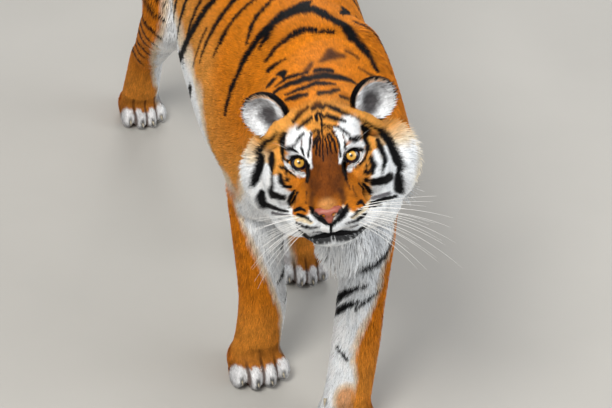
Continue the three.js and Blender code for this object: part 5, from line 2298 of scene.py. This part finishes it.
@dataclass
class Whiskers:
    """Long stiff hairs of the muzzle and brows."""

    rows: int = 4
    columns: int = 5
    thick: float = 0.62
    sides: int = 4
    steps: int = 24
    white: tuple = (246, 244, 240)
    limit: float = -251.0

    def hair(self, root: Array, way: Array, length: float, droop: float, thick: float) -> Mesh:
        """One hair that tapers and bends down and back."""
        t = np.linspace(0, 1, self.steps)[:, None]
        bend = np.array([0.0, 0.16, -droop])
        path = HEAD.world(root + unit(way) * length * t + bend * length * t**2)
        kept = path[path[:, 0] > self.limit]
        return swept(kept, thick * (1 - 0.8 * np.linspace(0, 1, len(kept))), self.sides)

    def muzzle(self, side: int, rng: np.random.Generator) -> list[Mesh]:
        """Rows of whiskers on one side's pad."""
        pad, halves = np.array([36.0 * side, -86, -76]), np.array([33, 41, 31])
        hairs = []
        for row in range(self.rows):
            for column in range(self.columns - (row == 0)):
                across = math.radians(28 + 15 * column + rng.uniform(-4, 4))
                lift = math.radians(22 - 20 * row + rng.uniform(-4, 4))
                level = math.cos(lift)
                way = np.array([side * math.sin(across) * level, -math.cos(across) * level, math.sin(lift)])
                root = pad + way * halves * 0.93
                growth = way * [1.0, 0.55, 0.5] + np.array([0.75 * side, 0.05, -0.02 - 0.06 * row])
                length = 96 + 17 * column + rng.uniform(-14, 18)
                hairs.append(self.hair(root, growth, length, 0.1 + 0.1 * row + rng.uniform(0, 0.14),
                                       self.thick))
        return hairs

    def brow(self, side: int, rng: np.random.Generator) -> list[Mesh]:
        """A few finer hairs over one eye."""
        hairs = []
        for i in range(6):
            root = np.array([side * (40 + 5 * i), 2 + 2 * i, 26 + 2 * math.sin(i)])
            way = np.array([side * (0.15 + 0.16 * i), -0.35, 1.0])
            hairs.append(self.hair(root, way, 26 + rng.uniform(0, 16), 0.2, self.thick * 0.5))
        return hairs

    def add(self, builder: Builder, made: dict) -> None:
        """Adds the whiskers of each side as one piece."""
        for side, word in SIDE_WORDS.items():
            rng = np.random.default_rng(60 + side)
            mesh = joined_meshes(self.muzzle(side, rng) + self.brow(side, rng))
            tint = np.tile(linear(self.white), (len(mesh.points), 1))
            builder.add(f"whiskers_{word}", mesh, made["whisker"], Finish.WHISKER, tint)


@dataclass
class Claws:
    """Claws drawn in, with only their tips clear of the toes, and a dewclaw inside each wrist."""

    length: float = 15.0
    thick: float = 3.4
    horn: tuple = (196, 184, 160)

    def claw(self, base: Array, way: Array) -> Mesh:
        """One hooked claw, thick at its base and sharp at its tip."""
        t = np.linspace(0, 1, 9)[:, None]
        path = base + unit(way) * self.length * t + np.array([0, 0, -5.0]) * t**2
        return swept(path, self.thick * (1 - t[:, 0] ** 1.6) + 0.3, 8)

    def add(self, builder: Builder, form: Form, made: dict) -> None:
        """Adds all the claws as one piece."""
        claws = []
        for limb in Limb:
            paw = form.paws[limb]
            for toe in paw.toes:
                tip = toe.centre + np.array([0, -toe.halves[1] * 0.72, toe.halves[2] * 0.1])
                base = paw.world(tip[None])[0]
                way = paw.world((tip + [0, -1, -0.25])[None])[0] - base
                claws.append(self.claw(base, way))
            if limb.fore:
                inner = -limb.side
                tip = np.array([inner * paw.size.width * 0.36, 2.0, paw.size.height * 1.2])
                base = paw.world(tip[None])[0]
                claws.append(self.claw(base, np.array([0.3 * inner, -0.7, -0.9])))
        mesh = joined_meshes(claws)
        shade = 0.75 + 0.3 * noise(mesh.points, 4.0, 2)
        builder.add("claws", mesh, made["claw"], Finish.CLAW, linear(self.horn) * shade[:, None])


# ---- Floor, light and camera


@dataclass(frozen=True)
class Lamp:
    """A large soft lamp: where it stands, what it faces, its size and its power."""

    name: str
    place: tuple
    aim: tuple
    size: float
    power: float
    colour: tuple = (1.0, 1.0, 1.0)

    def add(self) -> None:
        """Adds the lamp."""
        data = bpy.data.lights.new(self.name, "AREA")
        data.shape, data.size, data.energy, data.color = "DISK", self.size, self.power, self.colour
        lamp = bpy.data.objects.new(self.name, data)
        away = unit(np.array(self.place) - np.array(self.aim))
        right = unit(np.cross([0.0, 0.0, 1.0], away))
        lamp.matrix_world = placed_matrix(right, np.cross(away, right), away, self.place)
        bpy.context.scene.collection.objects.link(lamp)


def placed_matrix(right: Array, up: Array, back: Array, place: Array) -> Matrix:
    """A four by four matrix from three axes and a place."""
    rows = np.eye(4)
    rows[:3, 0], rows[:3, 1], rows[:3, 2], rows[:3, 3] = right, up, back, place
    return Matrix(rows.tolist())


@dataclass
class Studio:
    """A pale floor, soft lamps, an even sky and the camera."""

    floor_size: float = 60.0
    floor_colour: tuple = (180, 177, 171)
    sky: tuple = (0.93, 0.96, 1.0)
    sky_strength: float = 0.42
    lens: float = 170.83
    sensor: float = 36.0
    # The camera's place over the tiger's own ground, in metres, and its three turns in degrees.
    camera_place: tuple = (-1.33448, -4.75308, 3.95482)
    around: float = -15.5067
    above: float = 35.5616
    over: float = 3.3708
    lamps: tuple = (
        Lamp("key", (-2.2, -3.0, 4.8), (0, -0.2, 0.5), 2.2, 255.0, (1.0, 0.98, 0.94)),
        Lamp("fill", (3.8, -2.2, 2.6), (0, 0, 0.5), 3.4, 96.0, (0.95, 0.98, 1.0)),
        Lamp("rear", (1.2, 4.2, 3.6), (0, 0.2, 0.6), 3.0, 120.0),
    )

    def add(self, builder: Builder) -> None:
        """Adds everything that isn't the tiger."""
        self.add_floor()
        for lamp in self.lamps:
            lamp.add()
        world = bpy.data.worlds.new("sky")
        world.use_nodes = True
        world.node_tree.nodes["Background"].inputs["Color"].default_value = (*self.sky, 1.0)
        world.node_tree.nodes["Background"].inputs["Strength"].default_value = self.sky_strength
        bpy.context.scene.world = world
        self.add_camera(builder)
        bpy.context.scene.view_settings.view_transform = "Standard"

    def add_floor(self) -> None:
        """Adds the ground, pale with faint cloudy patches."""
        half = self.floor_size / 2
        data = bpy.data.meshes.new("floor")
        data.from_pydata([(-half, -half, 0), (half, -half, 0), (half, half, 0), (-half, half, 0)], [],
                         [(0, 1, 2, 3)])
        graph = Graph("floor_plain")
        graph.fill(graph.shader, {"Roughness": 0.9})
        colour = graph.node("ShaderNodeRGB")
        colour.outputs[0].default_value = (*linear(self.floor_colour), 1.0)
        graph.varied(colour.outputs[0], graph.grain(1.4, 5.0), 0.95, 1.04)
        data.materials.append(graph.material)
        floor = bpy.data.objects.new("floor", data)
        bpy.context.scene.collection.objects.link(floor)
        floor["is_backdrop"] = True

    def add_camera(self, builder: Builder) -> None:
        """Adds the camera by its place and its three turns."""
        right, up, back = rolled_axes(turn_z(self.around) @ X_AXIS, direction(self.around, self.above),
                                      self.over).T
        data = bpy.data.cameras.new("camera")
        data.lens, data.sensor_width, data.sensor_fit = self.lens, self.sensor, "HORIZONTAL"
        data.clip_end = 100.0
        camera = bpy.data.objects.new("camera", data)
        place = np.array(self.camera_place) + builder.shift * MM
        camera.matrix_world = placed_matrix(right, up, back, place)
        bpy.context.scene.collection.objects.link(camera)
        bpy.context.scene.camera = camera


# ---- The whole animal

FLESH = (
    "neck", "chest", "belly", "rump", "head", "lower_jaw", "tail_root", "tail_middle", "tail_tip",
    "fore_right_upper_arm", "fore_right_forearm", "fore_right_paw",
    "fore_left_upper_arm", "fore_left_forearm", "fore_left_paw",
    "hind_right_thigh", "hind_right_shank", "hind_right_hock", "hind_right_paw",
    "hind_left_thigh", "hind_left_shank", "hind_left_hock", "hind_left_paw",
)


def save_sizes() -> None:
    """Logs the solids' box and the finished model's."""
    boxes = {"cad": CAD_BOX, "visual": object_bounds()}
    plain = {name: [[float(v) for v in corner] for corner in box] for name, box in boxes.items()}
    log.info("sizes %s", plain)


def main() -> None:
    """Builds the tiger and the studio round it."""
    logging.basicConfig(level=logging.INFO, format="%(message)s")
    builder = Builder()
    made = {name: surface.made() for name, surface in SURFACES.items()}
    form = Form()
    skin = Skin(form)
    marks = Markings(form)
    points = skin.mesh.points
    tint = marks.colours(points, form.shares(form.distances(points)))
    # The skin under the coat is the markings darkened by a fifth: painted shade in the gaps between the tufts.
    builder.add("skin", skin.mesh, made["skin"], Finish.COAT, tint * 0.8, nodes=FLESH)
    EyePieces().add(builder, made)
    NosePad().add(builder, made)
    coat = Coat(form, skin, marks)
    coat.add(builder, made["coat"])
    EarCoat(coat.tufts).add(builder, made)
    Lips().add(builder, made)
    Whiskers().add(builder, made)
    Claws().add(builder, form, made)
    Studio().add(builder)
    save_sizes()


if __name__ == "__main__":
    main()
